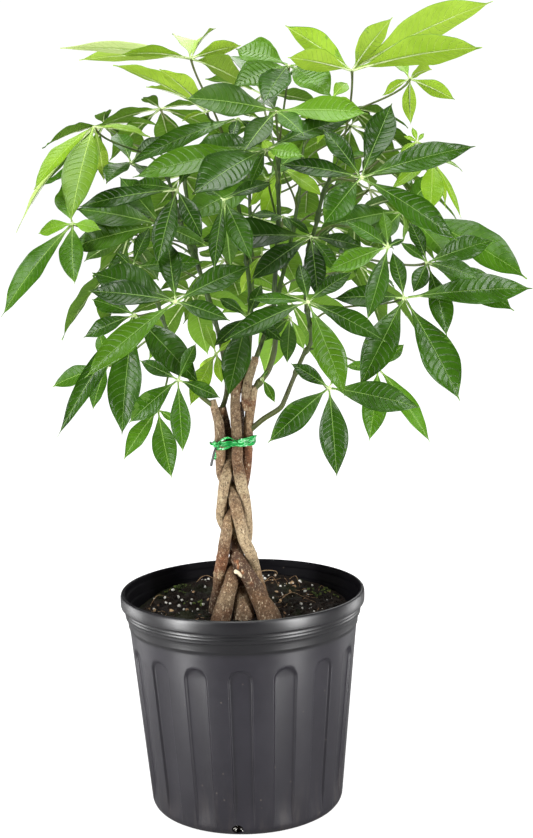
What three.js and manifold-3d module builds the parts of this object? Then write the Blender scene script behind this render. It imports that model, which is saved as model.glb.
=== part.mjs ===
// A potted money tree: a fluted nursery pot, its soil, five braided stems held by a twist tie,
// the green shoots that grow from their cut tops, and the palmate leaves on those shoots.
// Millimetres, +Z up. The origin is the centre of the pot's foot, on the ground.

import * as THREE from "three";
import { mergeGeometries, mergeVertices } from "three/addons/utils/BufferGeometryUtils.js";
import Module from "manifold-3d";

const wasm = await Module();
wasm.setup();

// Driving dimensions
const pot = {
  height: 240,
  rimRadius: 133.3,
  footRadius: 101,
  wall: 2.2,
  floor: 3,
  flutes: 16,
  fluteDepth: 1.8,
  fluteTop: 172,
  fluteTurn: -1.1, // degrees from the front
  holes: 4,
  holeTurn: -4.5,
  holeWidth: 12,
  holeHeight: 7,
  holeLevel: 8.8,
};
const soilLevel = 212;
const gap = 0.3;
const stemSides = 6;
const stemSteps = 20;
const shootSides = 4;
const shootSteps = 8;
const petioleSides = 3;
const petioleSteps = 3;
const petioleRadius = 1.25;
const hubRadius = 3.2;
const leafletThickness = 1.7;
const leafletWidth = 0.32;

// The plant is laid out as it looks from the front: a place is given as pixels across and down
// in that view, and as millimetres behind (+) or in front of (-) the pot's axis.
const view = {
  distance: 1500,
  height: 638.5,
  across: 30.6,
  pitch: 0.141,
  roll: 0.0235,
  focal: 1407,
  middleAcross: 266.5,
  middleDown: 419,
};

function fromView(across, down, depth) {
  const right = (across - view.middleAcross) / view.focal;
  const below = (down - view.middleDown) / view.focal;
  const side = right * Math.cos(view.roll) - below * Math.sin(view.roll);
  const rise = -right * Math.sin(view.roll) - below * Math.cos(view.roll);
  const direction = new THREE.Vector3(
    side,
    Math.cos(view.pitch) + rise * Math.sin(view.pitch),
    rise * Math.cos(view.pitch) - Math.sin(view.pitch),
  );
  const eye = new THREE.Vector3(view.across, -view.distance, view.height);
  return eye.addScaledVector(direction, (view.distance + depth) / direction.y);
}

// Materials
function finish(color, roughness, metalness = 0) {
  return new THREE.MeshStandardMaterial({ color, roughness, metalness });
}

const potPlastic = finish(0x3a393f, 0.45);
const pottingSoil = finish(0x2b2119, 0.95);
const bark = finish(0x8a735c, 0.85);
const tiePlastic = finish(0x1f9a48, 0.3);
const shootSkin = finish(0x4a5a2c, 0.55);
const leafTones = {
  deep: finish(0x2f5d1e, 0.35),
  mid: finish(0x4c8a2a, 0.35),
  lime: finish(0x8fb63c, 0.4),
};

// Solids: a closed geometry is welded by position into a solid, and a solid becomes a named mesh.
function solid(geometry) {
  const bare = geometry.clone();
  bare.deleteAttribute("normal");
  bare.deleteAttribute("uv");
  const welded = mergeVertices(bare, 1e-4);
  const corners = welded.index.array;
  const kept = [];
  for (let i = 0; i < corners.length; i += 3) {
    const [a, b, c] = [corners[i], corners[i + 1], corners[i + 2]];
    if (a !== b && b !== c && c !== a) kept.push(a, b, c);
  }
  return new wasm.Manifold(
    new wasm.Mesh({
      numProp: 3,
      vertProperties: welded.attributes.position.array,
      triVerts: new Uint32Array(kept),
    }),
  );
}

function largestBody(made) {
  const bodies = made.decompose();
  return bodies.reduce((best, body) => (body.volume() > best.volume() ? body : best));
}

function namedMesh(name, made, material) {
  const data = largestBody(made).getMesh();
  const geometry = new THREE.BufferGeometry();
  geometry.setAttribute("position", new THREE.BufferAttribute(data.vertProperties, 3));
  geometry.setIndex(new THREE.BufferAttribute(data.triVerts, 1));
  const flat = geometry.toNonIndexed();
  flat.computeVertexNormals();
  const mesh = new THREE.Mesh(flat, material);
  mesh.name = name;
  return mesh;
}

// A closed tube of changing radius: a capped cylinder bent along the curve.
function tube(curve, radiusAt, sides, steps) {
  const geometry = new THREE.CylinderGeometry(1, 1, 1, sides, steps);
  const frames = curve.computeFrenetFrames(steps);
  const position = geometry.attributes.position;
  const vertex = new THREE.Vector3();
  for (let i = 0; i < position.count; i++) {
    vertex.fromBufferAttribute(position, i);
    const step = Math.round((0.5 - vertex.y) * steps);
    const along = step / steps;
    const centre = curve.getPointAt(along);
    const radius = radiusAt(along);
    centre.addScaledVector(frames.normals[step], vertex.x * radius);
    centre.addScaledVector(frames.binormals[step], vertex.z * radius);
    position.setXYZ(i, centre.x, centre.y, centre.z);
  }
  return solidFacingOut(geometry);
}

function solidFacingOut(geometry) {
  const made = solid(geometry);
  if (made.volume() > 0) return made;
  const index = geometry.index.array;
  for (let i = 0; i < index.length; i += 3) [index[i + 1], index[i + 2]] = [index[i + 2], index[i + 1]];
  return solid(geometry);
}

// Pot: a turned profile whose outer wall dips inward at each flute.
const flutePitch = (2 * Math.PI) / pot.flutes;
const wallSlope = 0.0945;
const outerWallAtFoot = 105.8;

function outerWall(z) {
  return outerWallAtFoot + wallSlope * (z - 8);
}

function potProfile() {
  const outside = [
    [0, 0],
    [pot.footRadius, 0],
    [outerWallAtFoot - 0.6, 5],
    [outerWall(12), 12],
    [outerWall(pot.fluteTop), pot.fluteTop],
    [outerWall(185), 185],
    [125.2, 205],
    [128.8, 215],
    [129, 225],
    [pot.rimRadius, 226],
    [pot.rimRadius - 1, pot.height],
  ];
  const inside = [
    [pot.rimRadius - 5, pot.height],
    [122.3, 208],
    [outerWall(186) - pot.fluteDepth - pot.wall, 186],
    [outerWall(10) - pot.fluteDepth - pot.wall, pot.floor + 2],
    [0, pot.floor],
  ];
  return [...outside, ...inside].map(([r, z]) => new THREE.Vector2(r, z));
}

function potBody() {
  const segments = 3 * pot.flutes;
  const geometry = new THREE.LatheGeometry(potProfile(), segments);
  geometry.rotateX(Math.PI / 2);
  const position = geometry.attributes.position;
  for (let i = 0; i < position.count; i++) {
    const x = position.getX(i);
    const y = position.getY(i);
    const z = position.getZ(i);
    const radius = Math.hypot(x, y);
    if (radius < 1) continue;
    const slot = Math.round(Math.atan2(y, x) / (flutePitch / 3));
    const place = ((slot % 3) + 3) % 3;
    const spread = [0, 0.3, 0.7][place] - place / 3;
    const turn = THREE.MathUtils.degToRad(pot.fluteTurn);
    const angle = slot * (flutePitch / 3) + spread * flutePitch + turn;
    const onFlutes = z > 11 && z < pot.fluteTop + 1 && radius > outerWall(z) - 1;
    const depth = onFlutes && place === 0 ? pot.fluteDepth : 0;
    position.setXY(i, (radius - depth) * Math.cos(angle), (radius - depth) * Math.sin(angle));
  }
  return solidFacingOut(geometry);
}

function drainHole(angle) {
  const geometry = new THREE.BoxGeometry(30, pot.holeWidth, pot.holeHeight);
  geometry.translate(outerWallAtFoot - 4, 0, pot.holeLevel);
  geometry.rotateZ(angle);
  return solid(geometry);
}

function makePot() {
  let body = potBody();
  const front = -Math.PI / 2 + THREE.MathUtils.degToRad(pot.holeTurn);
  for (let i = 0; i < pot.holes; i++) {
    body = body.subtract(drainHole(front + (i * 2 * Math.PI) / pot.holes));
  }
  return body;
}

// Stems: five woody stems plaited from the soil to the tie, each given as [across, down, depth, diameter].
const stemPlan = {
  stem_left: {
    path: [
      [263, 640, 24, 21], [265, 612, 16, 20], [261, 597, 11.5, 17], [257, 580, 10, 13.6],
      [254.5, 567, 4.8, 12.4], [249.9, 552, -7.4, 12], [244.5, 540, -8, 12.4], [239, 520, -7.8, 12.2],
      [233.6, 500, -6.8, 11.8],
      [231.8, 490, 0, 11.4], [226, 484.5, 5.6, 11], [219.6, 475, 6, 10.8], [218, 467, 4.4, 10.8],
      [218.4, 456, 0.6, 10.8], [219, 440, -2, 10.8], [217.5, 422, -2, 10.6], [212.5, 401, -2, 10.4],
    ],
  },
  stem_left_behind: {
    path: [
      [271, 640, -20, 28], [269, 617, -15, 26], [260.5, 600, -11.5, 19], [251, 580, -10.5, 17],
      [240, 562, -7, 14.4], [236, 551, 1.8, 13.6], [233, 541, 6, 13.2], [226.5, 530, 8.8, 12.4],
      [220, 519, 7.8, 11.4], [219.8, 509, 1.5, 11.2], [221.5, 498, -5, 11], [223.3, 483, -8.4, 11],
      [225.8, 475, -5, 10.8], [228.4, 467.5, 0.4, 10.6], [230.2, 459, 5.6, 10.2], [227.6, 440, 8.6, 10],
      [225.5, 424, 7, 9.4], [222, 407, 4.4, 9.2],
    ],
  },
  stem_middle: {
    path: [
      [219, 640, -20, 24], [221.5, 617, -14, 22], [226, 600, -9.5, 18], [231.5, 580, -5, 15.6],
      [233.2, 563, 7.2, 13.2], [239.6, 550, 16, 11.4], [247, 540, 8.6, 11.6], [249.4, 520, 2.6, 11.2],
      [245.6, 500, -3.4, 11], [241.4, 480, -6.5, 11], [237.6, 460, -6.8, 11], [237.2, 440, -6.2, 11],
      [235.5, 415, -4, 11], [235.6, 396, -2, 10.2], [239.6, 380, 0.4, 9.2], [245, 363, 2.6, 8.2],
    ],
  },
  stem_right: {
    path: [
      [214, 640, 24, 19], [216, 607, 17, 18], [217, 590, 8.6, 14.4], [218.4, 572, 0, 13.4],
      [221, 556, -5.4, 13], [224, 540, -8, 12.6], [228, 522, -2.4, 11.8], [233.6, 508, 6.8, 11.2],
      [240, 497, 10.4, 10.8], [244.8, 480, 7.7, 10.4], [247.4, 461, 2.4, 10.2], [247.8, 440, 0.2, 10.2],
      [249, 420, 0, 10.2], [250.8, 405, 0, 10.4], [253.8, 386, -1, 9.2],
    ],
    fork: [
      [250.4, 410, 0, 8], [247.2, 397, -2.6, 8.8], [248.8, 382, -3.4, 8.6], [252.8, 369, -2, 8.2],
      [255.5, 357, 0, 7.6],
    ],
  },
  stem_back: {
    path: [
      [243.5, 640, -12, 26], [243.5, 617, -8, 24], [242.5, 600, -1, 17.6], [242.8, 580, 8.4, 14],
      [244.4, 571, 13, 12.8], [249.2, 561, 20.4, 11.8], [249.2, 549, 27, 11.4], [241, 538, 23.6, 11.6],
      [235, 526, 20.6, 11.4], [228.6, 512, 19, 11], [225.4, 500, 13.4, 10.8], [230, 490, 14, 11],
      [234.4, 481, 15.4, 11], [237.4, 468, 13.8, 10.8], [239, 452, 12, 10.4], [239.4, 440, 11, 10.2],
      [240, 422, 13, 10], [239, 402, 15, 9.6],
    ],
  },
};

function pathCurve(path) {
  return new THREE.CatmullRomCurve3(path.map(([across, down, depth]) => fromView(across, down, depth)));
}

// The thickness along a path, read at equal shares of its length.
function radiusAlong(path, curve, extra = 0) {
  const lengths = curve.getLengths(40 * (path.length - 1));
  const total = lengths[lengths.length - 1];
  const stops = path.map((_, i) => lengths[40 * i] / total);
  return (along) => {
    let i = 0;
    while (i < path.length - 2 && along > stops[i + 1]) i++;
    const share = THREE.MathUtils.clamp((along - stops[i]) / (stops[i + 1] - stops[i]), 0, 1);
    return THREE.MathUtils.lerp(path[i][3], path[i + 1][3], share) / 2 + extra;
  };
}

function pathTube(path, sides, steps, extra = 0) {
  const curve = pathCurve(path);
  return tube(curve, radiusAlong(path, curve, extra), sides, steps);
}

function makeStem(plan, extra = 0) {
  let made = pathTube(plan.path, stemSides, stemSteps, extra);
  if (plan.fork) made = made.add(pathTube(plan.fork, 6, 5, extra));
  return made;
}

// Soil: fills the pot to below the rim, heaped at the back and uneven, with a hole round each stem.
function soilHeight(x, y) {
  const heap = 14 * Math.min(Math.max((y + 5) / 115, 0), 1) ** 1.5;
  const rise = 3 * (Math.hypot(x, y) / 120) ** 2;
  return soilLevel - 5 + heap + rise + 1.6 * Math.sin(x / 21 + 1) * Math.cos(y / 17);
}

function makeSoil() {
  const base = pot.floor + 2.4;
  const inner = (z) => outerWall(z) - pot.fluteDepth - pot.wall - 4 * gap;
  const profile = [
    [0, base],
    [inner(10) - 1, base],
    [inner(180), 180],
    [119.5, soilLevel - 4],
    [112, soilLevel],
    [70, soilLevel],
    [0, soilLevel],
  ].map(([r, z]) => new THREE.Vector2(r, z));
  const geometry = new THREE.LatheGeometry(profile, 28);
  geometry.rotateX(Math.PI / 2);
  const position = geometry.attributes.position;
  for (let i = 0; i < position.count; i++) {
    const drop = soilLevel - position.getZ(i);
    if (drop > 5) continue;
    position.setZ(i, soilHeight(position.getX(i), position.getY(i)) - drop);
  }
  let soil = solidFacingOut(geometry);
  for (const { path } of Object.values(stemPlan)) {
    soil = soil.subtract(pathTube(path, stemSides, stemSteps, gap));
  }
  return soil;
}

// Twist tie: a flat band round the five stems, twisted into a knot on the left with two loose ends.
const tie = {
  middle: [233.3, 441, 2],
  halfWidth: 23,
  halfDepth: 16.8,
  height: 6.5,
  thickness: 1.1,
};

function tieBand() {
  const ring = new THREE.Shape();
  ring.absellipse(0, 0, tie.halfWidth + tie.thickness, tie.halfDepth + tie.thickness, 0, 2 * Math.PI);
  const hole = new THREE.Path();
  hole.absellipse(0, 0, tie.halfWidth, tie.halfDepth, 0, 2 * Math.PI);
  ring.holes.push(hole);
  const options = { depth: tie.height, bevelEnabled: false, curveSegments: 8 };
  const geometry = new THREE.ExtrudeGeometry(ring, options);
  geometry.translate(0, 0, -tie.height / 2);
  geometry.rotateY(-0.066);
  const centre = fromView(...tie.middle);
  geometry.translate(centre.x, centre.y, centre.z);
  return solid(geometry);
}

function makeTie() {
  const knot = new THREE.IcosahedronGeometry(3.4, 0);
  const place = fromView(216.8, 446, -11.6);
  knot.translate(place.x, place.y, place.z);
  const wireEnd = pathTube([[216, 446, -12, 2.4], [213.4, 453, -14, 2], [210.5, 466, -12, 2]], 5, 4);
  const shortEnd = pathTube([[217, 446, -12, 3], [216.4, 452, -15, 2.4], [214.5, 459, -15, 1.8]], 5, 3);
  return tieBand().add(solid(knot)).add(wireEnd).add(shortEnd);
}

// Shoots: green branches from the stems' cut tops, each given as [across, down, depth, diameter].
const shootPlan = {
  shoot_right: {
    from: "stem_right",
    path: [
      [253.5, 390, -1, 7], [259, 383, -2, 6.6], [269, 369, -5, 6.2], [275, 345, -8, 5.8],
      [274, 305, -10, 5.2],
      [276, 260, -12, 5], [279, 215, -15, 4.6], [278, 185, -18, 4.2], [279, 150, -22, 3.2],
    ],
  },
  shoot_lower_right: {
    from: "stem_right",
    path: [
      [249, 431, 0, 7], [262, 420, -6, 6.4], [283, 406, -14, 6], [292, 382, -20, 5.2], [303, 356, -26, 5],
      [311, 341, -30, 4.8], [306, 300, -34, 4.6], [307, 258, -36, 4.4], [316, 225, -38, 4.2],
      [323, 195, -40, 4], [338, 160, -44, 3.2],
    ],
  },
  shoot_middle: {
    from: "stem_middle",
    path: [
      [245, 367, 2, 5.6], [249, 335, 6, 5.2], [250, 295, 12, 4.8], [246, 257, 16, 4.6], [240, 215, 20, 4.2],
      [230, 165, 16, 3.8], [221, 128, 8, 3],
    ],
  },
  shoot_left: {
    from: "stem_left_behind",
    path: [
      [221, 411, 4, 6], [225, 400, 6, 5.6], [227, 385, 8, 5.4], [220, 340, 4, 5], [207, 292, -6, 4.6],
      [192, 252, -14, 4.4], [181, 224, -20, 4], [172, 190, -26, 3.4], [160, 160, -28, 2.8],
    ],
  },
  shoot_far_left: {
    from: "stem_left",
    path: [
      [213.5, 406, -2, 5.6], [208, 402, -4, 5], [199, 394, -10, 4.6], [184, 366, -26, 4.4],
      [166, 328, -42, 4],
      [154, 290, -52, 3.2],
    ],
  },
};

// Leafy sprays at the back of the crown: a shoot given like the others, the bearing it faces
// (degrees from +X towards +Y), how wide its leaves fan from that bearing, and their number.
const sprayPlan = {
  spray_back_right: {
    from: "stem_right",
    path: [
      [255, 361, 0, 5.4], [259, 350, 6, 5.2], [266, 330, 22, 5], [280, 285, 46, 4.8], [292, 235, 64, 4.4],
      [300, 185, 78, 3.8], [304, 140, 88, 3],
    ],
    bearing: 44,
    fan: 34,
    leaves: 6,
    seed: 11,
  },
  spray_back_left: {
    from: "stem_back",
    path: [
      [236.5, 411, 14, 5], [233, 396, 19, 5], [224, 350, 40, 5.2], [208, 300, 58, 4.8], [194, 245, 72, 4.4],
      [186, 190, 84, 3.8], [182, 140, 92, 3],
    ],
    bearing: 134,
    fan: 38,
    leaves: 6,
    seed: 5,
  },
  spray_back: {
    from: "stem_back",
    path: [
      [243, 408, 18, 5], [246, 392, 27, 5], [250, 340, 62, 4.8], [252, 280, 92, 4.4], [250, 210, 112, 4],
      [248, 150, 122, 3.2],
    ],
    bearing: 90,
    fan: 36,
    leaves: 6,
    seed: 3,
  },
};

function makeShoot(plan, extra = 0) {
  return pathTube(plan.path, shootSides, shootSteps, extra);
}

// Leaves: each has its shoot and how far along it grows, the hub where its leaflets meet, the way
// its plane leans (depth gained per step across and per step up), and the tips of its leaflets.
// A tip's third value, where it isn't null, is its own depth from the hub, for leaflets that leave
// the plane, and its fourth its own width as a share of its length.
const leafPlan = [
  // top of the crown, seen from below and edge on
  { shoot: "shoot_left", at: 0.97, hub: [94, 127, -60], lean: [0, 3], tone: "lime",
    tips: [
      [34, 190, -46, 0.26], [17, 233, 24, 0.15], [71, 223, -84, 0.27], [104, 182, 4, 0.28],
      [150, 138, -14],
    ] },
  { shoot: "shoot_left", at: 0.93, hub: [131, 163, -26], lean: [0, 2.4], tone: "deep",
    tips: [[116, 134, 58], [168, 136, 40], [35, 190, 24], [158, 186, -36], [106, 184, -72]] },
  { shoot: "shoot_middle", at: 0.98, hub: [191, 59, 16], lean: [0, -1.1], tone: "lime",
    tips: [
      [121, 56, -80, 0.18], [60, 49, -10, 0.12], [79, 61, 66, 0.16], [241, 46, 6, 0.36],
      [247, 86, -34, 0.5], [176, 37, 96, 0.26], [216, 29, 66, 0.24],
    ] },
  { shoot: "shoot_middle", at: 0.94, hub: [207, 112, -74], lean: [0, -3.4], bow: [0, 6, 0],
    tone: "lime",
    tips: [[113, 66, 0], [146, 88, 70, 0.24], [159, 70, -30, 0.42], [228, 106, 2], [182, 122, 10]] },
  { shoot: "shoot_right", at: 1, hub: [289, 66, -30], lean: [0, 0.8], tone: "deep",
    tips: [
      [236, 50, 24, 0.6], [232, 88, -30, 0.5], [263, 104, -62, 0.4], [331, 97, -50, 0.5],
      [348, 68, 20, 0.3],
    ] },
  { shoot: "shoot_lower_right", at: 1, hub: [352, 71, -60], lean: [0.2, -0.7], tone: "lime",
    tips: [[285, 26, 20], [393, 18, 10, 0.4], [493, 2, 70, 0.22], [482, 48, -84, 0.26], [288, 58, -44]] },
  { shoot: "spray_back_right", at: 0.97, hub: [410, 79, 60], lean: [0.3, -0.8], tone: "lime",
    tips: [[411, 125, 20], [383, 96, -20], [455, 100, 10], [432, 70, 60], [392, 62, 50]] },
  { shoot: "shoot_right", at: 0.98, hub: [331, 100, 16], lean: [0.2, 0.8], tone: "lime",
    tips: [[357, 107, 20], [317, 145, -20], [304, 124, 10], [347, 84, 40]] },
  { shoot: "shoot_right", at: 0.96, hub: [276, 112, -84], lean: [0, 0.5], tone: "mid",
    tips: [[184, 99, -30, 0.38], [244, 152, -46, 0.36], [264, 100, 60], [368, 114, -10], [304, 136, -50]] },
  { shoot: "shoot_right", at: 0.86, hub: [266, 150, -112], lean: [-0.1, 0.6], tone: "deep",
    tips: [
      [192, 196, -46, 0.46], [133, 178, 6, 0.24], [187, 152, 50, 0.32], [304, 157, -30, 0.4], [251, 185],
      [352, 119, 40, 0.24],
    ] },

  // upper crown
  { shoot: "shoot_left", at: 0.85, hub: [177, 190, -112], lean: [-0.1, 0.5], tone: "deep",
    tips: [[78, 208, null, 0.2], [133, 186, 40], [157, 267, null, 0.3], [198, 152], [203, 240]] },
  { shoot: "shoot_left", at: 0.76, hub: [162, 226, -64], lean: [-0.3, 0.6], tone: "mid",
    tips: [[76, 210, 36], [68, 250], [120, 178], [206, 246]] },
  { shoot: "shoot_left", at: 0.62, hub: [73, 224, -50], lean: [-0.4, 0.5], tone: "mid",
    tips: [
      [2, 317, null, 0.24], [75, 285, null, 0.42], [101, 230, -20, 0.36], [39, 234, 30], [62, 186, 50],
    ] },
  { shoot: "shoot_lower_right", at: 0.9, hub: [361, 178, -128], lean: [0.1, 0.45], tone: "deep",
    tips: [
      [392, 104], [323, 130], [280, 165, null, 0.24], [475, 147, null, 0.22], [323, 225, null, 0.48],
      [457, 241, null, 0.25],
    ] },
  { shoot: "shoot_lower_right", at: 0.96, hub: [417, 142, -70], lean: [0.1, 0.5], tone: "lime",
    tips: [[404, 137], [399, 155], [426, 150], [412, 128], [424, 134]] },
  { shoot: "shoot_lower_right", at: 0.88, hub: [432, 160, -60], lean: [0.3, 1], tone: "lime",
    tips: [
      [430, 212, -30, 0.4], [445, 209, 30, 0.2], [461, 219, -10, 0.12], [391, 190, -10, 0.26],
      [462, 172, 60, 0.12],
    ] },
  { shoot: "shoot_lower_right", at: 0.82, hub: [402, 212, -20], lean: [0.4, 0.7], tone: "mid",
    tips: [[527, 279], [327, 227], [370, 246, -40], [402, 243, 30], [455, 268, -50], [436, 176]] },
  { shoot: "shoot_middle", at: 0.62, hub: [224, 200, -112], lean: [-0.1, 0.8], bow: [0, -14, 0],
    tone: "deep",
    tips: [[214, 272, -44, 0.2], [231, 268, 10], [252, 262, -44, 0.3], [272, 184, 20], [198, 184, 20]] },
  { shoot: "shoot_right", at: 0.66, hub: [268, 180, -8], lean: [0, 0.6], tone: "mid",
    tips: [[190, 205, 20], [180, 222, -60], [236, 150, 50], [300, 152, 60]] },
  { shoot: "spray_back_right", at: 0.7, hub: [283, 170, 50], lean: [0, 0.8], tone: "lime",
    tips: [[323, 197], [312, 180, 20], [262, 222, -20], [250, 207, 30], [262, 140]] },
  { shoot: "shoot_right", at: 0.56, hub: [283, 217, -50], lean: [0, 0.9], tone: "deep",
    tips: [[251, 216], [292, 232, -20], [310, 235, 10], [270, 222, -20]] },

  { shoot: "shoot_middle", at: 0.9, hub: [238, 119, -44], lean: [0, 0.8], tone: "deep",
    tips: [[128, 166, -10, 0.2], [232, 140, -30], [262, 140, 10]] },

  // inside the crown, behind the front leaves
  { shoot: "shoot_right", at: 0.9, hub: [262, 94, 60], lean: [0, -2], tone: "mid",
    tips: [[205, 80, 30], [228, 56, 110], [300, 76, 130], [318, 104, 40], [250, 118, 0]] },
  { shoot: "shoot_lower_right", at: 0.8, hub: [356, 212, 18], lean: [0.6, -1.4], tone: "deep",
    tips: [[394, 250, 24], [356, 276, 0], [318, 240, 40], [400, 198, 10], [338, 178, 50]] },
  { shoot: "shoot_left", at: 0.66, hub: [128, 236, 10], lean: [-0.6, -1.4], tone: "deep",
    tips: [[84, 262, 30], [108, 300, 0], [158, 282, 40], [150, 206, 60], [86, 214, 20]] },

  // middle of the crown
  { shoot: "shoot_far_left", at: 0.97, hub: [132, 268, -88], lean: [-0.1, 0.4], tone: "deep",
    tips: [[117, 253], [103, 277], [150, 228], [203, 263], [152, 293], [122, 300]] },
  { shoot: "shoot_far_left", at: 0.9, hub: [176, 302, -150], lean: [-0.1, 0.5], tone: "deep",
    tips: [
      [89, 292, null, 0.29], [93, 274, 70], [168, 241], [250, 267], [230, 321], [85, 378, null, 0.24],
    ] },
  { shoot: "shoot_far_left", at: 0.8, hub: [135, 315, -92], lean: [-0.2, 0.5], tone: "deep",
    tips: [[58, 437, null, 0.15], [122, 437, null, 0.28], [84, 338], [200, 385], [92, 300, 40]] },
  { shoot: "shoot_lower_right", at: 0.7, hub: [388, 247, -160], lean: [0.1, 0.4], bow: [0, 18, 0],
    tone: "deep",
    tips: [[327, 272], [346, 222], [383, 212], [404, 240], [367, 321, null, 0.27]] },
  { shoot: "shoot_lower_right", at: 0.64, hub: [427, 263, -96], lean: [0.2, 0.5], tone: "deep",
    tips: [
      [493, 241], [480, 281, -44], [514, 311, 20], [447, 337], [409, 222], [400, 243],
      [413, 293, null, 0.5],
    ] },
  { shoot: "shoot_lower_right", at: 0.72, hub: [311, 237, -66], lean: [0, 0.6], tone: "deep",
    tips: [[250, 281], [199, 241], [363, 248], [338, 274], [318, 300]] },
  { shoot: "shoot_lower_right", at: 0.5, hub: [308, 302, -140], lean: [0, 0.6], tone: "deep",
    tips: [
      [250, 300, null, 0.22], [225, 341, null, 0.25], [345, 397, null, 0.28], [385, 342, null, 0.27],
      [352, 273], [299, 264],
    ] },
  { shoot: "shoot_lower_right", at: 0.44, hub: [404, 298, -128], lean: [0.1, 0.4], tone: "deep",
    tips: [[532, 289, null, 0.23], [460, 401], [359, 388], [333, 299], [392, 252]] },
  { shoot: "shoot_middle", at: 0.28, hub: [248, 317, -72], lean: [0, 0.6], tone: "deep",
    tips: [[219, 299], [214, 347], [228, 398], [283, 342], [262, 285]] },
  { shoot: "shoot_middle", at: 0.44, hub: [262, 255, 30], lean: [0, 0.9], tone: "lime",
    tips: [[241, 294, 12], [256, 274, 40], [286, 262], [262, 222]] },

  // lower crown
  { shoot: "shoot_far_left", at: 0.34, hub: [178, 380, -135], lean: [0, 0.3], tone: "deep",
    tips: [[140, 361], [129, 423, null, 0.36], [183, 453, null, 0.28], [220, 398], [196, 344]] },
  { shoot: "shoot_far_left", at: 0.5, hub: [158, 410, -70], lean: [-0.2, 0.7], tone: "mid",
    tips: [[124, 460], [172, 479], [176, 422]] },
  { shoot: "shoot_far_left", at: 0.66, hub: [108, 366, 10], lean: [-0.4, 0.6], tone: "mid",
    tips: [[53, 387], [92, 398, 30], [93, 411, -40], [100, 332]] },
  { shoot: "shoot_lower_right", at: 0.28, hub: [329, 388, -156], lean: [0, 0.4], tone: "deep",
    tips: [[291, 364], [268, 443], [337, 478], [420, 408], [344, 362]] },
  { shoot: "shoot_lower_right", at: 0.36, hub: [378, 368, -56], lean: [0.2, 0.6], tone: "mid",
    tips: [[430, 443, null, 0.22], [369, 442], [345, 367], [404, 345]] },
  { shoot: "shoot_left", at: 0.16, hub: [216, 354, -20], lean: [0, 0.8], tone: "lime",
    tips: [[200, 382, 30], [222, 384], [190, 406, -30], [236, 340], [206, 326]] },
  { shoot: "shoot_right", at: 0.3, hub: [290, 318, -50], lean: [0, 0.7], tone: "mid",
    tips: [[287, 364], [264, 342], [304, 350, 10], [276, 296]] },
  { shoot: "shoot_right", at: 0.04, hub: [262, 379, -18], lean: [0, 0.7], tone: "mid",
    tips: [[275, 403], [268, 371]] },
];

const leafCup = 0.12;

function tipOf(leaf, [across, down, ownDepth]) {
  const hub = fromView(...leaf.hub);
  const level = fromView(across, down, leaf.hub[2]).sub(hub);
  const [leanAcross, leanUp] = leaf.lean;
  const planeDepth = leanAcross * level.x + leanUp * level.z + leafCup * Math.hypot(level.x, level.z);
  return fromView(across, down, leaf.hub[2] + (ownDepth ?? planeDepth));
}

function leafFace([leanAcross, leanUp]) {
  const face = new THREE.Vector3(leanAcross, -1, leanUp).normalize();
  return face.z < 0 ? face.negate() : face;
}

// A leaflet is an upper and a lower sheet that meet along its edge, folded up along the rib: narrow
// at the hub, widest at two thirds of its length, and pointed.
const leafletRows = [
  { along: 0.04, width: 0, thickness: 1 },
  { along: 0.34, width: 0.6, thickness: 1 },
  { along: 0.65, width: 1, thickness: 1 },
  { along: 1, width: 0, thickness: 0 },
];
const leafletFold = 0.22;
const leafletArch = 0.1;

// Gives a function that places the point of a leaflet at a row, across (-1, 0 or 1) and above or
// below the rib (1 or -1).
function layLeaflet(hub, face, tip, widthShare) {
  const direction = tip.clone().sub(hub);
  const length = direction.length();
  direction.normalize();
  const side = new THREE.Vector3().crossVectors(face, direction).normalize();
  const normal = new THREE.Vector3().crossVectors(direction, side);
  const middle = hub.clone().add(tip).multiplyScalar(0.5).addScaledVector(normal, leafletArch * length);
  const spine = new THREE.QuadraticBezierCurve3(hub, middle, tip);
  return (row, across, lift) => {
    const { along, width, thickness } = leafletRows[row];
    const reach = (across * width * widthShare * length) / 2;
    const onRib = across === 0 ? (lift * leafletThickness * thickness) / 2 : 0;
    const above = new THREE.Vector3().crossVectors(spine.getTangent(along), side).normalize();
    const point = spine.getPoint(along).addScaledVector(side, reach);
    return point.addScaledVector(above, onRib + leafletFold * Math.abs(reach));
  };
}

// The leaflets of a leaf in turn round the hub, each with the axil between it and the one before.
function leafletsInTurn(hub, face, tips, widths) {
  const level = new THREE.Quaternion().setFromUnitVectors(new THREE.Vector3(0, 0, 1), face);
  const ahead = new THREE.Vector3(1, 0, 0).applyQuaternion(level);
  const abreast = new THREE.Vector3(0, 1, 0).applyQuaternion(level);
  const leaflets = tips.map((tip, i) => {
    const out = tip.clone().sub(hub);
    const bearing = Math.atan2(out.dot(abreast), out.dot(ahead));
    return { place: layLeaflet(hub, face, tip, widths[i]), bearing };
  });
  leaflets.sort((a, b) => a.bearing - b.bearing);
  leaflets.forEach((leaflet, i) => {
    const turn = leaflet.bearing - leaflets.at(i - 1).bearing;
    const bearing = leaflet.bearing - (turn > 0 ? turn : turn + 2 * Math.PI) / 2;
    leaflet.axil = hub.clone().addScaledVector(ahead, hubRadius * Math.cos(bearing));
    leaflet.axil.addScaledVector(abreast, hubRadius * Math.sin(bearing));
  });
  return leaflets;
}

function leafletSheet(place, axils, lift) {
  const sheet = new THREE.PlaneGeometry(2, 1, 2, leafletRows.length - 1);
  const position = sheet.attributes.position;
  for (let i = 0; i < position.count; i++) {
    const across = position.getX(i);
    const row = Math.round((0.5 - position.getY(i)) * (leafletRows.length - 1));
    const onAxil = row === 0 && across !== 0;
    const point = onAxil ? axils[across < 0 ? 0 : 1] : place(row, across, lift);
    position.setXYZ(i, point.x, point.y, point.z);
  }
  if (lift < 0) sheet.index.array.reverse();
  return sheet;
}

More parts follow.
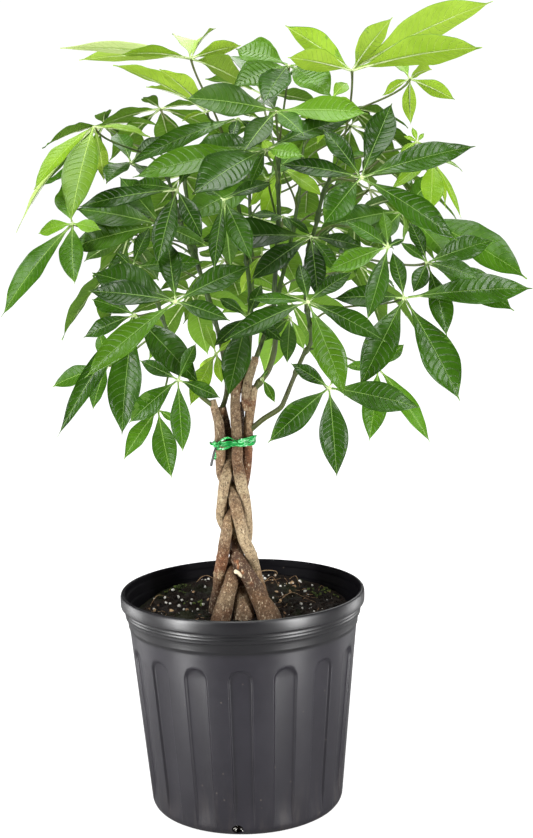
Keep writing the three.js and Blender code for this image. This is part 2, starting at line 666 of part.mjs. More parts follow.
// The hub is closed by a fan above and one below, out to the axils and the leaflets' ribs.
function hubFan(hub, face, leaflets, lift) {
  const fan = new THREE.CircleGeometry(1, 2 * leaflets.length);
  const position = fan.attributes.position;
  const centre = hub.clone().addScaledVector(face, lift * 0.4 * hubRadius);
  position.setXYZ(0, centre.x, centre.y, centre.z);
  for (let i = 1; i < position.count; i++) {
    const turn = (i - 1) % (2 * leaflets.length);
    const { axil, place } = leaflets[Math.floor(turn / 2)];
    const point = turn % 2 === 0 ? axil : place(0, 0, lift);
    position.setXYZ(i, point.x, point.y, point.z);
  }
  if (lift < 0) fan.index.array.reverse();
  return fan;
}

function makeBlade(hub, face, tips, widths) {
  const leaflets = leafletsInTurn(hub, face, tips, widths);
  const faces = [hubFan(hub, face, leaflets, 1), hubFan(hub, face, leaflets, -1)];
  leaflets.forEach(({ place, axil }, i) => {
    const axils = [axil, leaflets[(i + 1) % leaflets.length].axil];
    faces.push(leafletSheet(place, axils, 1), leafletSheet(place, axils, -1));
  });
  return solidFacingOut(mergeGeometries(faces));
}

// The petiole leaves its shoot outward and comes into the hub from under the leaf.
function petioleCurve(shoot, at, hub, face, [bowAcross, bowUp, bowDepth] = [0, 0, 0]) {
  const root = shoot.getPointAt(at);
  const climb = shoot.getTangentAt(at);
  const span = root.distanceTo(hub);
  const bow = new THREE.Vector3(bowAcross, bowDepth, bowUp);
  const first = root.clone().addScaledVector(climb, 0.25 * span).lerp(hub, 0.15).add(bow);
  const second = hub.clone().addScaledVector(face, -0.22 * span).lerp(root, 0.15).add(bow);
  return new THREE.CubicBezierCurve3(root, first, second, hub);
}

function makeLeaf(leaf) {
  const hub = fromView(...leaf.hub);
  const face = leafFace(leaf.lean);
  const plan = shootPlan[leaf.shoot] ?? sprayPlan[leaf.shoot];
  const curve = petioleCurve(pathCurve(plan.path), leaf.at, hub, face, leaf.bow);
  const petiole = tube(curve, () => petioleRadius, petioleSides, petioleSteps);
  const tips = leaf.tips.map((tip) => tipOf(leaf, tip));
  const widths = leaf.tips.map((tip) => tip[3] ?? leafletWidth);
  return petiole.subtract(makeShoot(plan, gap)).add(makeBlade(hub, face, tips, widths));
}

// Sprays: leaves set along the shoot, turned one after another by the golden share of the fan.
function seededDraw(seed) {
  let state = seed;
  return () => {
    state = (Math.imul(state, 1664525) + 1013904223) >>> 0;
    return state / 4294967296;
  };
}

function sprayLeaf(plan, shoot, i, draw) {
  const along = 0.34 + (0.66 * i) / (plan.leaves - 1);
  const turn = plan.fan * (2 * ((0.15 + i * 0.618) % 1) - 1);
  const bearing = THREE.MathUtils.degToRad(plan.bearing + turn);
  const outward = new THREE.Vector3(Math.cos(bearing), Math.sin(bearing), 0);
  const rise = 0.1 + 0.5 * along;
  const reach = (along > 0.95 ? 64 : 104) * (0.85 + 0.3 * draw());
  const hub = shoot.getPointAt(along).addScaledVector(outward, reach);
  hub.z += rise * reach;
  const tilt = THREE.MathUtils.degToRad(58 - 34 * along + 12 * (draw() - 0.5));
  const face = new THREE.Vector3(0, 0, Math.cos(tilt)).addScaledVector(outward, Math.sin(tilt));
  const downhill = outward.clone().multiplyScalar(Math.cos(tilt));
  downhill.z = -Math.sin(tilt);
  const sideways = new THREE.Vector3().crossVectors(face, downhill);
  const size = 96 + 30 * draw();
  const tips = [-132, -72, -22, 26, 78, 134].map((degrees) => {
    const angle = THREE.MathUtils.degToRad(degrees + 10 * (draw() - 0.5));
    const length = size * (0.72 + 0.28 * Math.cos(angle)) * (0.92 + 0.16 * draw());
    const droop = 0.16 + 0.22 * draw();
    const direction = downhill.clone().multiplyScalar(Math.cos(angle));
    direction.addScaledVector(sideways, Math.sin(angle)).addScaledVector(face, -droop).normalize();
    return hub.clone().addScaledVector(direction, length);
  });
  return { along, hub, face, tips };
}

function makeSpray(plan) {
  const shoot = pathCurve(plan.path);
  const draw = seededDraw(plan.seed);
  let made = makeShoot(plan);
  for (let i = 0; i < plan.leaves; i++) {
    const { along, hub, face, tips } = sprayLeaf(plan, shoot, i, draw);
    const curve = petioleCurve(shoot, along, hub, face);
    const petiole = tube(curve, () => petioleRadius, petioleSides, petioleSteps);
    made = made.add(petiole).add(makeBlade(hub, face, tips, tips.map(() => leafletWidth)));
  }
  return made;
}

// Assembly
const moneyTree = new THREE.Group();
moneyTree.add(namedMesh("pot", makePot(), potPlastic));
moneyTree.add(namedMesh("soil", makeSoil(), pottingSoil));
for (const [name, plan] of Object.entries(stemPlan)) moneyTree.add(namedMesh(name, makeStem(plan), bark));
moneyTree.add(namedMesh("twist_tie", makeTie(), tiePlastic));
for (const [name, plan] of Object.entries(shootPlan)) {
  const parent = makeStem(stemPlan[plan.from], gap);
  moneyTree.add(namedMesh(name, makeShoot(plan).subtract(parent), shootSkin));
}
for (const [name, plan] of Object.entries(sprayPlan)) {
  const parent = makeStem(stemPlan[plan.from], gap);
  moneyTree.add(namedMesh(name, makeSpray(plan).subtract(parent), leafTones.mid));
}
leafPlan.forEach((leaf, i) => {
  const name = "leaf_" + String(i + 1).padStart(2, "0");
  moneyTree.add(namedMesh(name, makeLeaf(leaf), leafTones[leaf.tone]));
});

export default moneyTree;
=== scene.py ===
# A potted money tree: a fluted nursery pot, its soil, five plaited stems held by a twist tie, green
# shoots and palmate leaves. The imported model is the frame, and finer pieces stand for its nodes.
# Metres, +Z up, the origin at the centre of the pot's foot.

import bisect
import math
import random

import bmesh
import bpy
from mathutils import Matrix, Quaternion, Vector, noise
from mathutils.geometry import interpolate_bezier
from mathutils.kdtree import KDTree


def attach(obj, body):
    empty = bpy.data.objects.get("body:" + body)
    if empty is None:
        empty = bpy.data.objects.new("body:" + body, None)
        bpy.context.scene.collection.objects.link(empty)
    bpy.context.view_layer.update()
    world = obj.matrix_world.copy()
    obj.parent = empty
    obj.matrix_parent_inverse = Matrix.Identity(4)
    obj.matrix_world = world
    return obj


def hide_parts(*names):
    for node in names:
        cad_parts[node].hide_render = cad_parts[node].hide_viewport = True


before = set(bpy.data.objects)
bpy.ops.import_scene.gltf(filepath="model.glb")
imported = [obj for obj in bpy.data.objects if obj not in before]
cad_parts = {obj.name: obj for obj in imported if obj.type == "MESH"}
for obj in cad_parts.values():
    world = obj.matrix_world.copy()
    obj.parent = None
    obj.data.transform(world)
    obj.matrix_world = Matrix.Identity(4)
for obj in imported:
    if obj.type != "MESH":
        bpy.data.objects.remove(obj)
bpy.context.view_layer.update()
print("frame loaded:", len(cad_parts), "nodes")


def addObject(name, data):
    made = bpy.data.objects.new(name, data)
    bpy.context.scene.collection.objects.link(made)
    return made


# Camera: the place and aim that the photograph was taken from

photo = {
    "eye": (0.0306, -1.5, 0.6385),
    "pitch": 0.141,  # looking down by this angle
    "roll": 0.0235,  # tipped sideways by this angle
    "focal": 1407.0,  # in the photograph's pixels
    "width": 533,
    "height": 838,
    "film": 36,  # the camera's own measure of the picture's height, in millimetres
}


def fromView(across, down, depth):
    # the point seen at a pixel, depth millimetres behind the pot's axis
    right = (across - photo["width"] / 2) / photo["focal"]
    below = (down - photo["height"] / 2) / photo["focal"]
    pitch, roll = photo["pitch"], photo["roll"]
    side = right * math.cos(roll) - below * math.sin(roll)
    rise = -right * math.sin(roll) - below * math.cos(roll)
    ahead = math.cos(pitch) + rise * math.sin(pitch)
    heading = Vector((side, ahead, rise * math.cos(pitch) - math.sin(pitch)))
    eye = Vector(photo["eye"])
    return eye + heading * ((depth / 1000 - eye.y) / heading.y)


def seenAt(point):
    # the pixel across and the pixel down that a point is seen at
    pitch, roll = photo["pitch"], photo["roll"]
    gaze = point - Vector(photo["eye"])
    ahead = gaze.y * math.cos(pitch) - gaze.z * math.sin(pitch)
    up = gaze.z * math.cos(pitch) + gaze.y * math.sin(pitch)
    right = gaze.x * math.cos(roll) - up * math.sin(roll)
    rise = gaze.x * math.sin(roll) + up * math.cos(roll)
    across = photo["width"] / 2 + photo["focal"] * right / ahead
    return across, photo["height"] / 2 - photo["focal"] * rise / ahead


def placeCamera():
    lens = bpy.data.cameras.new("camera")
    lens.lens = photo["film"] * photo["focal"] / photo["height"]
    lens.clip_end = 50
    camera = addObject("camera", lens)
    camera.location = photo["eye"]
    tilt = Matrix.Rotation(math.pi / 2 - photo["pitch"], 3, "X")
    camera.rotation_euler = (tilt @ Matrix.Rotation(-photo["roll"], 3, "Z")).to_euler()
    bpy.context.scene.camera = camera


placeCamera()
print("camera placed")


# Small helpers for shader nodes

def rgb(red, green, blue):
    # a colour as it is read off a screen, 0 to 255, turned into the linear one that shaders take
    parts = [c / 255 for c in (red, green, blue)]
    return (*[c / 12.92 if c < 0.04 else ((c + 0.055) / 1.055) ** 2.4 for c in parts], 1.0)


def addNode(tree, kind, sockets=None, **settings):
    node = tree.nodes.new(kind)
    for name, value in settings.items():
        setattr(node, name, value)
    for name, value in (sockets or {}).items():
        if isinstance(value, bpy.types.NodeSocket):
            tree.links.new(value, node.inputs[name])
        else:
            node.inputs[name].default_value = value
    return node


def calc(tree, operation, *values):
    node = addNode(tree, "ShaderNodeMath", dict(enumerate(values)), operation=operation)
    return node.outputs[0]


def times(tree, first, second):
    return calc(tree, "MULTIPLY", first, second)


def timesPlus(tree, first, second, third):
    return calc(tree, "MULTIPLY_ADD", first, second, third)


def plus(tree, first, second):
    return calc(tree, "ADD", first, second)


def minus(tree, first, second):
    return calc(tree, "SUBTRACT", first, second)


def remap(tree, value, low, high, newLow=0.0, newHigh=1.0):
    # a smooth step from low to high
    sockets = {"Value": value, "From Min": low, "From Max": high, "To Min": newLow, "To Max": newHigh}
    return addNode(tree, "ShaderNodeMapRange", sockets, interpolation_type="SMOOTHSTEP").outputs[0]


def mixColours(tree, share, first, second):
    sockets = {"Factor": share, 6: first, 7: second}
    return addNode(tree, "ShaderNodeMix", sockets, data_type="RGBA").outputs[2]


def tinted(tree, colour, tint, mask, most=1.0):
    # a tint over a colour where the mask lies, to a share of most
    return mixColours(tree, times(tree, mask, most), colour, tint)


def layered(tree, colour, *coats):
    # coats over a colour from the lowest up, each a tint, the mask where it lies and its share there
    for coat in coats:
        colour = tinted(tree, colour, *coat)
    return colour


def stretched(tree, vector, scale):
    return addNode(tree, "ShaderNodeMapping", {"Vector": vector, "Scale": scale}).outputs[0]


def noiseOf(tree, vector, scale, detail=3.0, roughness=0.55, distortion=0.0):
    sockets = {"Vector": vector, "Scale": scale, "Detail": detail}
    sockets.update({"Roughness": roughness, "Distortion": distortion})
    return addNode(tree, "ShaderNodeTexNoise", sockets).outputs[0]


def cellsOf(tree, vector, scale):
    return addNode(tree, "ShaderNodeTexVoronoi", {"Vector": vector, "Scale": scale}).outputs


def firstOf(tree, colour):
    # the red part of a colour, as a random number for each cell
    return addNode(tree, "ShaderNodeSeparateColor", {"Color": colour}).outputs[0]


def heightOf(tree, vector):
    return addNode(tree, "ShaderNodeSeparateXYZ", {"Vector": vector}).outputs[2]


def newGroup(name, inputs, outputs):
    # inputs are (name, starting value or None for a vector); returns the tree and its two end nodes
    tree = bpy.data.node_groups.new(name, "ShaderNodeTree")
    for label, value in inputs:
        kind = "NodeSocketVector" if value is None else "NodeSocketFloat"
        socket = tree.interface.new_socket(label, in_out="INPUT", socket_type=kind)
        if value is not None:
            socket.default_value = value
    for label in outputs:
        tree.interface.new_socket(label, in_out="OUTPUT", socket_type="NodeSocketFloat")
    return tree, tree.nodes.new("NodeGroupInput").outputs, tree.nodes.new("NodeGroupOutput").inputs


def useGroup(tree, group, sockets):
    return addNode(tree, "ShaderNodeGroup", sockets, node_tree=group).outputs


def newMaterial(name, **finish):
    # finish holds the constant sockets of the Principled shader, by their names without spaces;
    # returns the material, its tree and the place of a point on its object
    material = bpy.data.materials.new(name)
    material.use_nodes = True
    tree = material.node_tree
    for socket in tree.nodes["Principled BSDF"].inputs:
        if socket.name.replace(" ", "") in finish:
            socket.default_value = finish[socket.name.replace(" ", "")]
    return material, tree, addNode(tree, "ShaderNodeTexCoord").outputs["Object"]


def finishLook(material, colour, rough, relief, strength, distance):
    # the last links of a material: its colour, its roughness and the bump of its relief
    tree = material.node_tree
    shader = tree.nodes["Principled BSDF"]
    sockets = {"Height": relief, "Strength": strength, "Distance": distance}
    bump = addNode(tree, "ShaderNodeBump", sockets)
    tree.links.new(colour, shader.inputs["Base Color"])
    tree.links.new(rough, shader.inputs["Roughness"])
    tree.links.new(bump.outputs[0], shader.inputs["Normal"])
    return material


# Effects shared by several materials

def mottleGroup():
    # soft patches with a finer break-up, for colour that is never even
    inputs = [("Vector", None), ("Size", 20.0), ("Contrast", 0.25)]
    tree, given, out = newGroup("mottle", inputs, ["Mask"])
    broad = noiseOf(tree, given["Vector"], given["Size"], 2.0)
    fine = noiseOf(tree, given["Vector"], times(tree, given["Size"], 5.3), 3.0, 0.6)
    both = plus(tree, times(tree, broad, 0.62), times(tree, fine, 0.38))
    low, high = minus(tree, 0.5, given["Contrast"]), plus(tree, 0.5, given["Contrast"])
    tree.links.new(remap(tree, both, low, high), out["Mask"])
    return tree


def grainGroup():
    # a fine skin for bump: the pores of moulded plastic, bark or a leaf
    tree, given, out = newGroup("grain", [("Vector", None), ("Size", 400.0)], ["Height"])
    pores = cellsOf(tree, given["Vector"], given["Size"])["Distance"]
    skin = noiseOf(tree, given["Vector"], times(tree, given["Size"], 0.4), 2.0)
    tree.links.new(plus(tree, times(tree, pores, 0.5), skin), out["Height"])
    return tree


def specksGroup():
    # scattered round specks, some kept and some left out
    inputs = [("Vector", None), ("Size", 300.0), ("Radius", 0.3), ("Share", 0.5)]
    tree, given, out = newGroup("specks", inputs, ["Mask"])
    cells = cellsOf(tree, given["Vector"], given["Size"])
    inner = times(tree, given["Radius"], 0.55)
    dots = minus(tree, 1.0, remap(tree, cells["Distance"], inner, given["Radius"]))
    kept = calc(tree, "LESS_THAN", firstOf(tree, cells["Color"]), given["Share"])
    tree.links.new(times(tree, dots, kept), out["Mask"])
    return tree


def veinsGroup():
    # a leaflet's rib and side veins. Along runs from hub to tip and Across from edge to edge, both
    # 0 to 1, Pairs is how many veins leave the rib on each side, and From rib is in millimetres.
    inputs = [("Along", 0.0), ("Across", 0.5), ("Pairs", 16.0), ("From rib", 0.0), ("Rib width", 0.8)]
    tree, given, out = newGroup("leafVeins", inputs, ["Rib", "Vein", "Quilt"])
    signed = timesPlus(tree, given["Across"], 2.0, -1.0)
    outward = calc(tree, "ABSOLUTE", signed)
    swept = timesPlus(tree, calc(tree, "POWER", outward, 1.7), -0.10, given["Along"])
    stagger = times(tree, calc(tree, "GREATER_THAN", signed, 0.0), 0.4)
    turn = calc(tree, "FRACT", timesPlus(tree, swept, given["Pairs"], stagger))
    nearVein = calc(tree, "ABSOLUTE", minus(tree, turn, 0.5))  # 0.5 on a vein
    inside = minus(tree, 1.0, remap(tree, outward, 0.72, 0.98))
    vein = times(tree, remap(tree, nearVein, 0.4, 0.49), inside)
    hump = minus(tree, 1.0, calc(tree, "POWER", times(tree, nearVein, 2.0), 7.0))
    taper = timesPlus(tree, given["Along"], -0.62, 1.0)
    half = times(tree, given["Rib width"], taper)
    ribEdge = remap(tree, given["From rib"], times(tree, half, 0.6), times(tree, half, 1.7))
    rib = minus(tree, 1.0, ribEdge)
    offRib = minus(tree, 1.0, rib)
    tree.links.new(rib, out["Rib"])
    tree.links.new(times(tree, vein, offRib), out["Vein"])
    tree.links.new(times(tree, times(tree, hump, inside), offRib), out["Quilt"])
    return tree


mottle = mottleGroup()
grain = grainGroup()
specks = specksGroup()
leafVeins = veinsGroup()
print("shared effects built")


def mottled(tree, vector, size, contrast):
    return useGroup(tree, mottle, {"Vector": vector, "Size": size, "Contrast": contrast})[0]


def grained(tree, vector, size):
    return useGroup(tree, grain, {"Vector": vector, "Size": size})[0]


def speckled(tree, vector, size, radius, share):
    sockets = {"Vector": vector, "Size": size, "Radius": radius, "Share": share}
    return useGroup(tree, specks, sockets)[0]


def skinMaterial(name, ior, colours, patch, rough, skin, bump, most=1.0, stain=None):
    # a skin whose two colours change in patches (size, contrast), with roughness (gain, base), a
    # fine grain, its bump (strength, distance) and a stain (colour, share, size, contrast)
    material, tree, place = newMaterial(name, IOR=ior)
    patches = mottled(tree, place, *patch)
    colour = tinted(tree, *colours, patches, most)
    if stain:
        tint, share, *spread = stain
        colour = tinted(tree, colour, tint, mottled(tree, place, *spread), share)
    return finishLook(material, colour, timesPlus(tree, patches, *rough), grained(tree, place, skin), *bump)


# Small helpers for pieces

def newBmesh():
    bm = bmesh.new()
    bm.loops.layers.uv.new("UVMap")
    return bm


def meshOf(name, bm):
    mesh = bpy.data.meshes.new(name)
    bm.to_mesh(mesh)
    bm.free()
    return mesh


def finishPiece(name, bm, materials, nodes=(), creaseAngle=0.7):
    for face in bm.faces:
        face.smooth = True
    for edge in bm.edges:
        edge.smooth = not edge.is_manifold or edge.calc_face_angle(0) < creaseAngle
    mesh = meshOf(name, bm)
    for material in materials:
        mesh.materials.append(material)
    piece = addObject(name, mesh)
    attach(piece, "root")
    if nodes:
        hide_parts(*nodes)
    return piece


def pieceNamed(node):
    # a node's name in the form that pieces have
    first, *rest = node.split("_")
    return first + "".join(word.capitalize() for word in rest)


def smoothStep(low, high, value):
    share = min(max((value - low) / (high - low), 0.0), 1.0)
    return share * share * (3 - 2 * share)


def between(rows, value):
    # the two rows round a value, each starting with its own, and how far it lies from one to the other
    for before, after in zip(rows, rows[1:]):
        if value <= after[0]:
            return before, after, smoothStep(before[0], after[0], value)
    return rows[-1], rows[-1], 0.0


def facesRound(verts):
    # the faces that a set of corners belongs to
    return {face for vert in verts for face in vert.link_faces}


def routeThrough(points, radii):
    lengths = [0.0]
    for a, b in zip(points, points[1:]):
        lengths.append(lengths[-1] + (b - a).length)
    return {"points": points, "radii": radii, "lengths": lengths}


def viewRoute(rows, perSpan=12):
    # a smooth route through rows of pixel across, pixel down, depth and diameter in millimetres
    points = [fromView(*row[:3]) for row in rows]
    ends = [2 * points[0] - points[1], *points, 2 * points[-1] - points[-2]]
    places, radii = [], []
    for i in range(len(points) - 1):
        before, start, end, after = ends[i:i + 4]
        s, t, u = [(b - a).length ** 0.5 for a, b in ((before, start), (start, end), (end, after))]
        leave = (start - before) / s - (end - before) / (s + t) + (end - start) / t
        arrive = (end - start) / t - (after - start) / (t + u) + (after - end) / u
        span = interpolate_bezier(start, start + leave * t / 3, end - arrive * t / 3, end, perSpan + 1)
        for k in range(perSpan + (i == len(points) - 2)):
            share = k / perSpan
            places.append(span[k])
            radii.append((rows[i][3] * (1 - share) + rows[i + 1][3] * share) / 2000)
    return routeThrough(places, radii)


def alongRoute(route, share):
    # the point and the radius at a share of the route's length
    lengths = route["lengths"]
    goal = share * lengths[-1]
    i = min(max(bisect.bisect_right(lengths, goal) - 1, 0), len(lengths) - 2)
    part = (goal - lengths[i]) / max(lengths[i + 1] - lengths[i], 1e-9)
    point = route["points"][i].lerp(route["points"][i + 1], part)
    return point, route["radii"][i] * (1 - part) + route["radii"][i + 1] * part


def headingAt(route, share):
    before, after = max(share - 0.01, 0), min(share + 0.01, 1)
    return (alongRoute(route, after)[0] - alongRoute(route, before)[0]).normalized()


def addTube(bm, route, sides, rings, material=0, shape=None):
    # a grid rolled round the route and closed along its seam and at both ends. shape gives the
    # radius for a share of the length, a turn from 0 to 1 and the route's own radius.
    made = bmesh.ops.create_grid(bm, x_segments=sides, y_segments=rings + 2, size=0.5, calc_uvs=True)
    stations = []
    heading = headingAt(route, 0)
    sideways = heading.orthogonal().normalized()
    for j in range(rings + 1):
        point, radius = alongRoute(route, j / rings)
        turned = headingAt(route, j / rings)
        sideways = heading.rotation_difference(turned) @ sideways
        heading = turned
        stations.append((point, radius, sideways, heading.cross(sideways)))
    for vert in made["verts"]:
        turn = vert.co.x + 0.5
        row = round((vert.co.y + 0.5) * (rings + 2))
        j = min(max(row - 1, 0), rings)
        centre, radius, sideways, abreast = stations[j]
        if shape:
            radius = shape(j / rings, turn % 1.0, radius)
        if row in (0, rings + 2):
            radius = 0
        angle = 2 * math.pi * turn
        vert.co = centre + (sideways * math.cos(angle) + abreast * math.sin(angle)) * radius
    faces = facesRound(made["verts"])
    for face in faces:
        face.material_index = material
    bmesh.ops.remove_doubles(bm, verts=made["verts"], dist=1e-6)
    bmesh.ops.recalc_face_normals(bm, faces=[face for face in faces if face.is_valid])
    return [vert for vert in made["verts"] if vert.is_valid]


def addTurned(bm, profile, steps):
    # a profile of radius and height, turned round the upright axis
    verts = [bm.verts.new((radius, 0, z)) for radius, z in profile]
    edges = [bm.edges.new(pair) for pair in zip(verts, verts[1:])]
    bmesh.ops.spin(
        bm, geom=verts + edges, cent=(0, 0, 0), axis=(0, 0, 1), dvec=(0, 0, 0), angle=2 * math.pi,
        steps=steps, use_merge=True,
    )
    bmesh.ops.remove_doubles(bm, verts=bm.verts, dist=1e-6)
    bmesh.ops.recalc_face_normals(bm, faces=bm.faces)


# Pot: a turned wall with a rolled lip, a ringed collar, arched flutes and drain holes

potSize = {
    "footRadius": 0.1058,
    "footLevel": 0.008,
    "slope": 0.0945,  # how far the wall leans out per step up
    "skin": 0.0026,  # corners this near the outer wall belong to it
    "flutes": 16,
    "fluteHalf": 0.262,  # half of a flute's width, as a share of their pitch
    "fluteDepth": 0.0026,
    "fluteHollow": 0.0013,  # how much deeper the middle of a flute is
    "fluteEdge": (0.0006, -0.0014),  # where its side starts and ends, past its width
    "fluteFoot": (0.002, 0.034),  # the heights between which it comes in
    "fluteTop": 0.185,  # top of the arch
    "fluteEnd": 0.19,
    "fluteTurn": -1.1,  # degrees from the front
    "stepsPerFlute": 24,
    "stops": [0, 0.08, 0.15, 0.2, 0.222, 0.237, 0.25, 0.263, 0.276, 0.29, 0.34, 0.42, 0.5],
    "holes": 4,
    "holeSize": (0.0125, 0.0102),
    "holeReach": 0.104,
    "holeLevel": 0.0078,
    "holeGrains": 16,
    "holeTurn": -5.3,
    # heights for the colour: the corners under the rings, where shade is painted, and where the other marks
    # start and are full; the collar takes painted shade too
    "creases": (0.2034, 0.2136, 0.2182, 0.2214, 0.2254),
    "creaseReach": (0.0012, 0.0002),
    "lip": (0.2368, 0.2398),
    "collar": (0.196, 0.206),
    "splash": (0.07, 0.0),
}


def outerWall(z):
    return potSize["footRadius"] + potSize["slope"] * (z - potSize["footLevel"])


def potProfile():
    # radius and height in millimetres, from the middle of the base over the rim to the inner floor
    base = [
        (0, 0), (30, 0), (59, 0), (59.6, 0.4), (60.6, 0.4), (61.2, 0), (85, 0), (97.4, 0), (100.4, 0.6),
        (102.6, 1.9), (104.2, 3.8), (105.2, 6),
    ]
    levels = [8, 10, 13, 20, 35, 50, 65, 80, 95, 110, 125, 140, 152, 160, 165, 168, 170.5, 172.5, 174.5]
    levels += [176.5, 178, 179.5, 181, 182.2, 183.4, 184.6, 186, 188, 192]
    wall = [(1000 * outerWall(z / 1000), z) for z in levels]
    collar = [
        (123.8, 197), (124.1, 200), (124.5, 203.2), (125.4, 203.9), (125.5, 205.8), (125.8, 207.6),
        (126.2, 210), (126.7, 213), (127.2, 213.9), (128.2, 214.3), (128.5, 215.4), (128.5, 217.9),
        (128.9, 218.3), (128.6, 218.8), (128.7, 221.1), (129.1, 221.5), (128.8, 222), (128.9, 224.2),
        (129.5, 225.1), (131.6, 225.5), (132.7, 226),
    ]
    lip = [
        (133.1, 227.2), (133.3, 232), (133.2, 236.3), (132.7, 238.3), (131.8, 239.5), (130.6, 240),
        (129.3, 239.7), (128.4, 238.8), (128, 236.8), (127.6, 233.6), (126.2, 232.7), (125.4, 231.8),
    ]
    inside = [(124.9, 224), (124.3, 222.6), (123.1, 221.9), (122.7, 221), (122.1, 205), (120.6, 192)]
    inside += [(1000 * outerWall(z / 1000) - 4, z) for z in (180, 100)]
    inside += [(1000 * outerWall(0.01) - 4, 9), (97, 3), (50, 3), (0, 3)]
    return [(r / 1000, z / 1000) for r, z in base + wall + collar + lip + inside]


def fluteRecess(z, angle):
    # how far the wall steps in at a height and an angle
    pitch = 2 * math.pi / potSize["flutes"]
    turn = (angle + math.pi / 2 - math.radians(potSize["fluteTurn"]) + pitch / 2) % pitch - pitch / 2
    half = potSize["fluteHalf"] * pitch * outerWall(z)
    across = abs(turn) * outerWall(z)
    archCentre = potSize["fluteTop"] - half
    if z > archCentre:
        across = math.hypot(across, z - archCentre)
    outer, inner = potSize["fluteEdge"]
    edge = smoothStep(half + outer, half + inner, across)
    hollow = max(1 - (across / half) ** 2, 0)
    foot = smoothStep(*potSize["fluteFoot"], z)
    return edge * (potSize["fluteDepth"] + potSize["fluteHollow"] * hollow) * foot


def crowdSteps(step):
    # the turn of a step, with more of them near a flute's two edges than on the flats
    perFlute = potSize["stepsPerFlute"]
    flute, place = divmod(step, perFlute)
    mirrored = place > perFlute / 2
    share = potSize["stops"][perFlute - place if mirrored else place]
    return flute + (1 - share if mirrored else share)


def holeTurns():
    front = -math.pi / 2 + math.radians(potSize["holeTurn"])
    return [front + i * 2 * math.pi / potSize["holes"] for i in range(potSize["holes"])]


def cutHoles(piece):
    # one cutter holds all the drain holes, each a little wavy
    width, height = potSize["holeSize"]
    bm = bmesh.new()
    for i, turn in enumerate(holeTurns()):
        made = bmesh.ops.create_cone(
            bm, cap_ends=True, segments=20, radius1=0.5, radius2=0.5, depth=0.03,
            matrix=Matrix.Rotation(turn, 4, "Z")
            @ Matrix.Translation((potSize["holeReach"], 0, potSize["holeLevel"]))
            @ Matrix.Rotation(math.pi / 2, 4, "Y")
            @ Matrix.Diagonal((height, width, 1, 1)),
        )
        for vert in made["verts"]:
            vert.co.z += 0.0004 * math.sin(40 * vert.co.x + 9 * i)
    cutter = addObject("holeCutter", meshOf("holeCutter", bm))
    cut = piece.modifiers.new("drainHoles", "BOOLEAN")
    cut.operation = "DIFFERENCE"
    cut.solver = "EXACT"
    cut.object = cutter
    graph = bpy.context.evaluated_depsgraph_get()
    result = bpy.data.meshes.new_from_object(piece.evaluated_get(graph), depsgraph=graph)
    piece.modifiers.clear()
    piece.data = result
    bpy.data.objects.remove(cutter)


def potPlasticMaterial(name, base, worn, gloss, shine):
    look = {
        # the crease colour is painted shade in the corners under the rings, and the collar colour painted
        # shade over the collar and lip
        "dust": rgb(112, 102, 90), "scuff": rgb(98, 96, 101), "crease": rgb(8, 8, 10),
        "collar": rgb(6, 5, 8),
    }
    material, tree, place = newMaterial(name, IOR=1.46, SpecularIORLevel=shine)
    height = heightOf(tree, place)
    patches = mottled(tree, place, 14.0, 0.2)
    flow = noiseOf(tree, stretched(tree, place, (90, 90, 12)), 1.0, 3.0, 0.6)  # upright moulding marks
    rings = noiseOf(tree, stretched(tree, place, (30, 30, 700)), 1.0, 3.0, 0.7)  # left by stacking
    rubbed = times(tree, remap(tree, height, *potSize["lip"]), remap(tree, flow, 0.42, 0.66))
    collar = remap(tree, height, *potSize["collar"])  # painted shade: the collar darker than the wall below it
    coats = [(worn, patches, 0.35), (look["scuff"], rubbed, 0.5), (look["collar"], collar, 0.9)]
    for level in potSize["creases"]:  # painted shade in the corner under each ring
        away = calc(tree, "ABSOLUTE", minus(tree, height, level))
        coats.append((look["crease"], remap(tree, away, *potSize["creaseReach"]), 0.9))
    dots = speckled(tree, place, 130.0, 0.16, 0.1)
    dusty = times(tree, remap(tree, height, *potSize["splash"]), remap(tree, flow, 0.45, 0.75))
    dirt = plus(tree, times(tree, dusty, 0.1), times(tree, dots, 0.2))
    colour = layered(tree, base, *coats, (look["dust"], dirt))
    rough = timesPlus(tree, patches, 0.06, gloss)
    rough = plus(tree, timesPlus(tree, rings, 0.06, rough), dirt)
    relief = timesPlus(tree, rings, 0.5, times(tree, grained(tree, place, 900.0), 0.2))
    relief = timesPlus(tree, flow, 0.6, relief)
    return finishLook(material, colour, rough, relief, 0.16, 0.0004)


def makePot():
    bm = newBmesh()
    steps = potSize["flutes"] * potSize["stepsPerFlute"]
    addTurned(bm, potProfile(), steps)
    start = -math.pi / 2 + math.radians(potSize["fluteTurn"])
    pitch = 2 * math.pi / potSize["flutes"]
    for vert in bm.verts:
        radius = math.hypot(vert.co.x, vert.co.y)
        if radius < 0.001:
            continue
        step = round(math.atan2(vert.co.y, vert.co.x) / (2 * math.pi) * steps) % steps
        angle = start + crowdSteps(step) * pitch
        onWall = radius > max(outerWall(vert.co.z) - potSize["skin"], 0.1)
        if onWall and vert.co.z < potSize["fluteEnd"]:
            radius -= fluteRecess(vert.co.z, angle)
        vert.co.x, vert.co.y = radius * math.cos(angle), radius * math.sin(angle)
    bm.normal_update()
    for face in bm.faces:
        middle = face.calc_center_median()
        facesIn = middle.xy.dot(face.normal.xy) < -0.002 * middle.xy.length
        face.material_index = int(facesIn and middle.z > 0.003)
    # the inward faces take a much darker copy of the same plastic: painted shade inside the pot
    outside = potPlasticMaterial("potPlastic", rgb(24, 22, 28), rgb(35, 33, 40), 0.32, 0.65)
    inside = potPlasticMaterial("potPlasticInsideShade", rgb(5, 5, 7), rgb(11, 11, 14), 0.5, 0.05)
    cutHoles(finishPiece("potWall", bm, [outside, inside], ["pot"], creaseAngle=0.9))


makePot()
print("pot made")


# Soil: a crumbly bed with perlite, green algae and fine roots on it

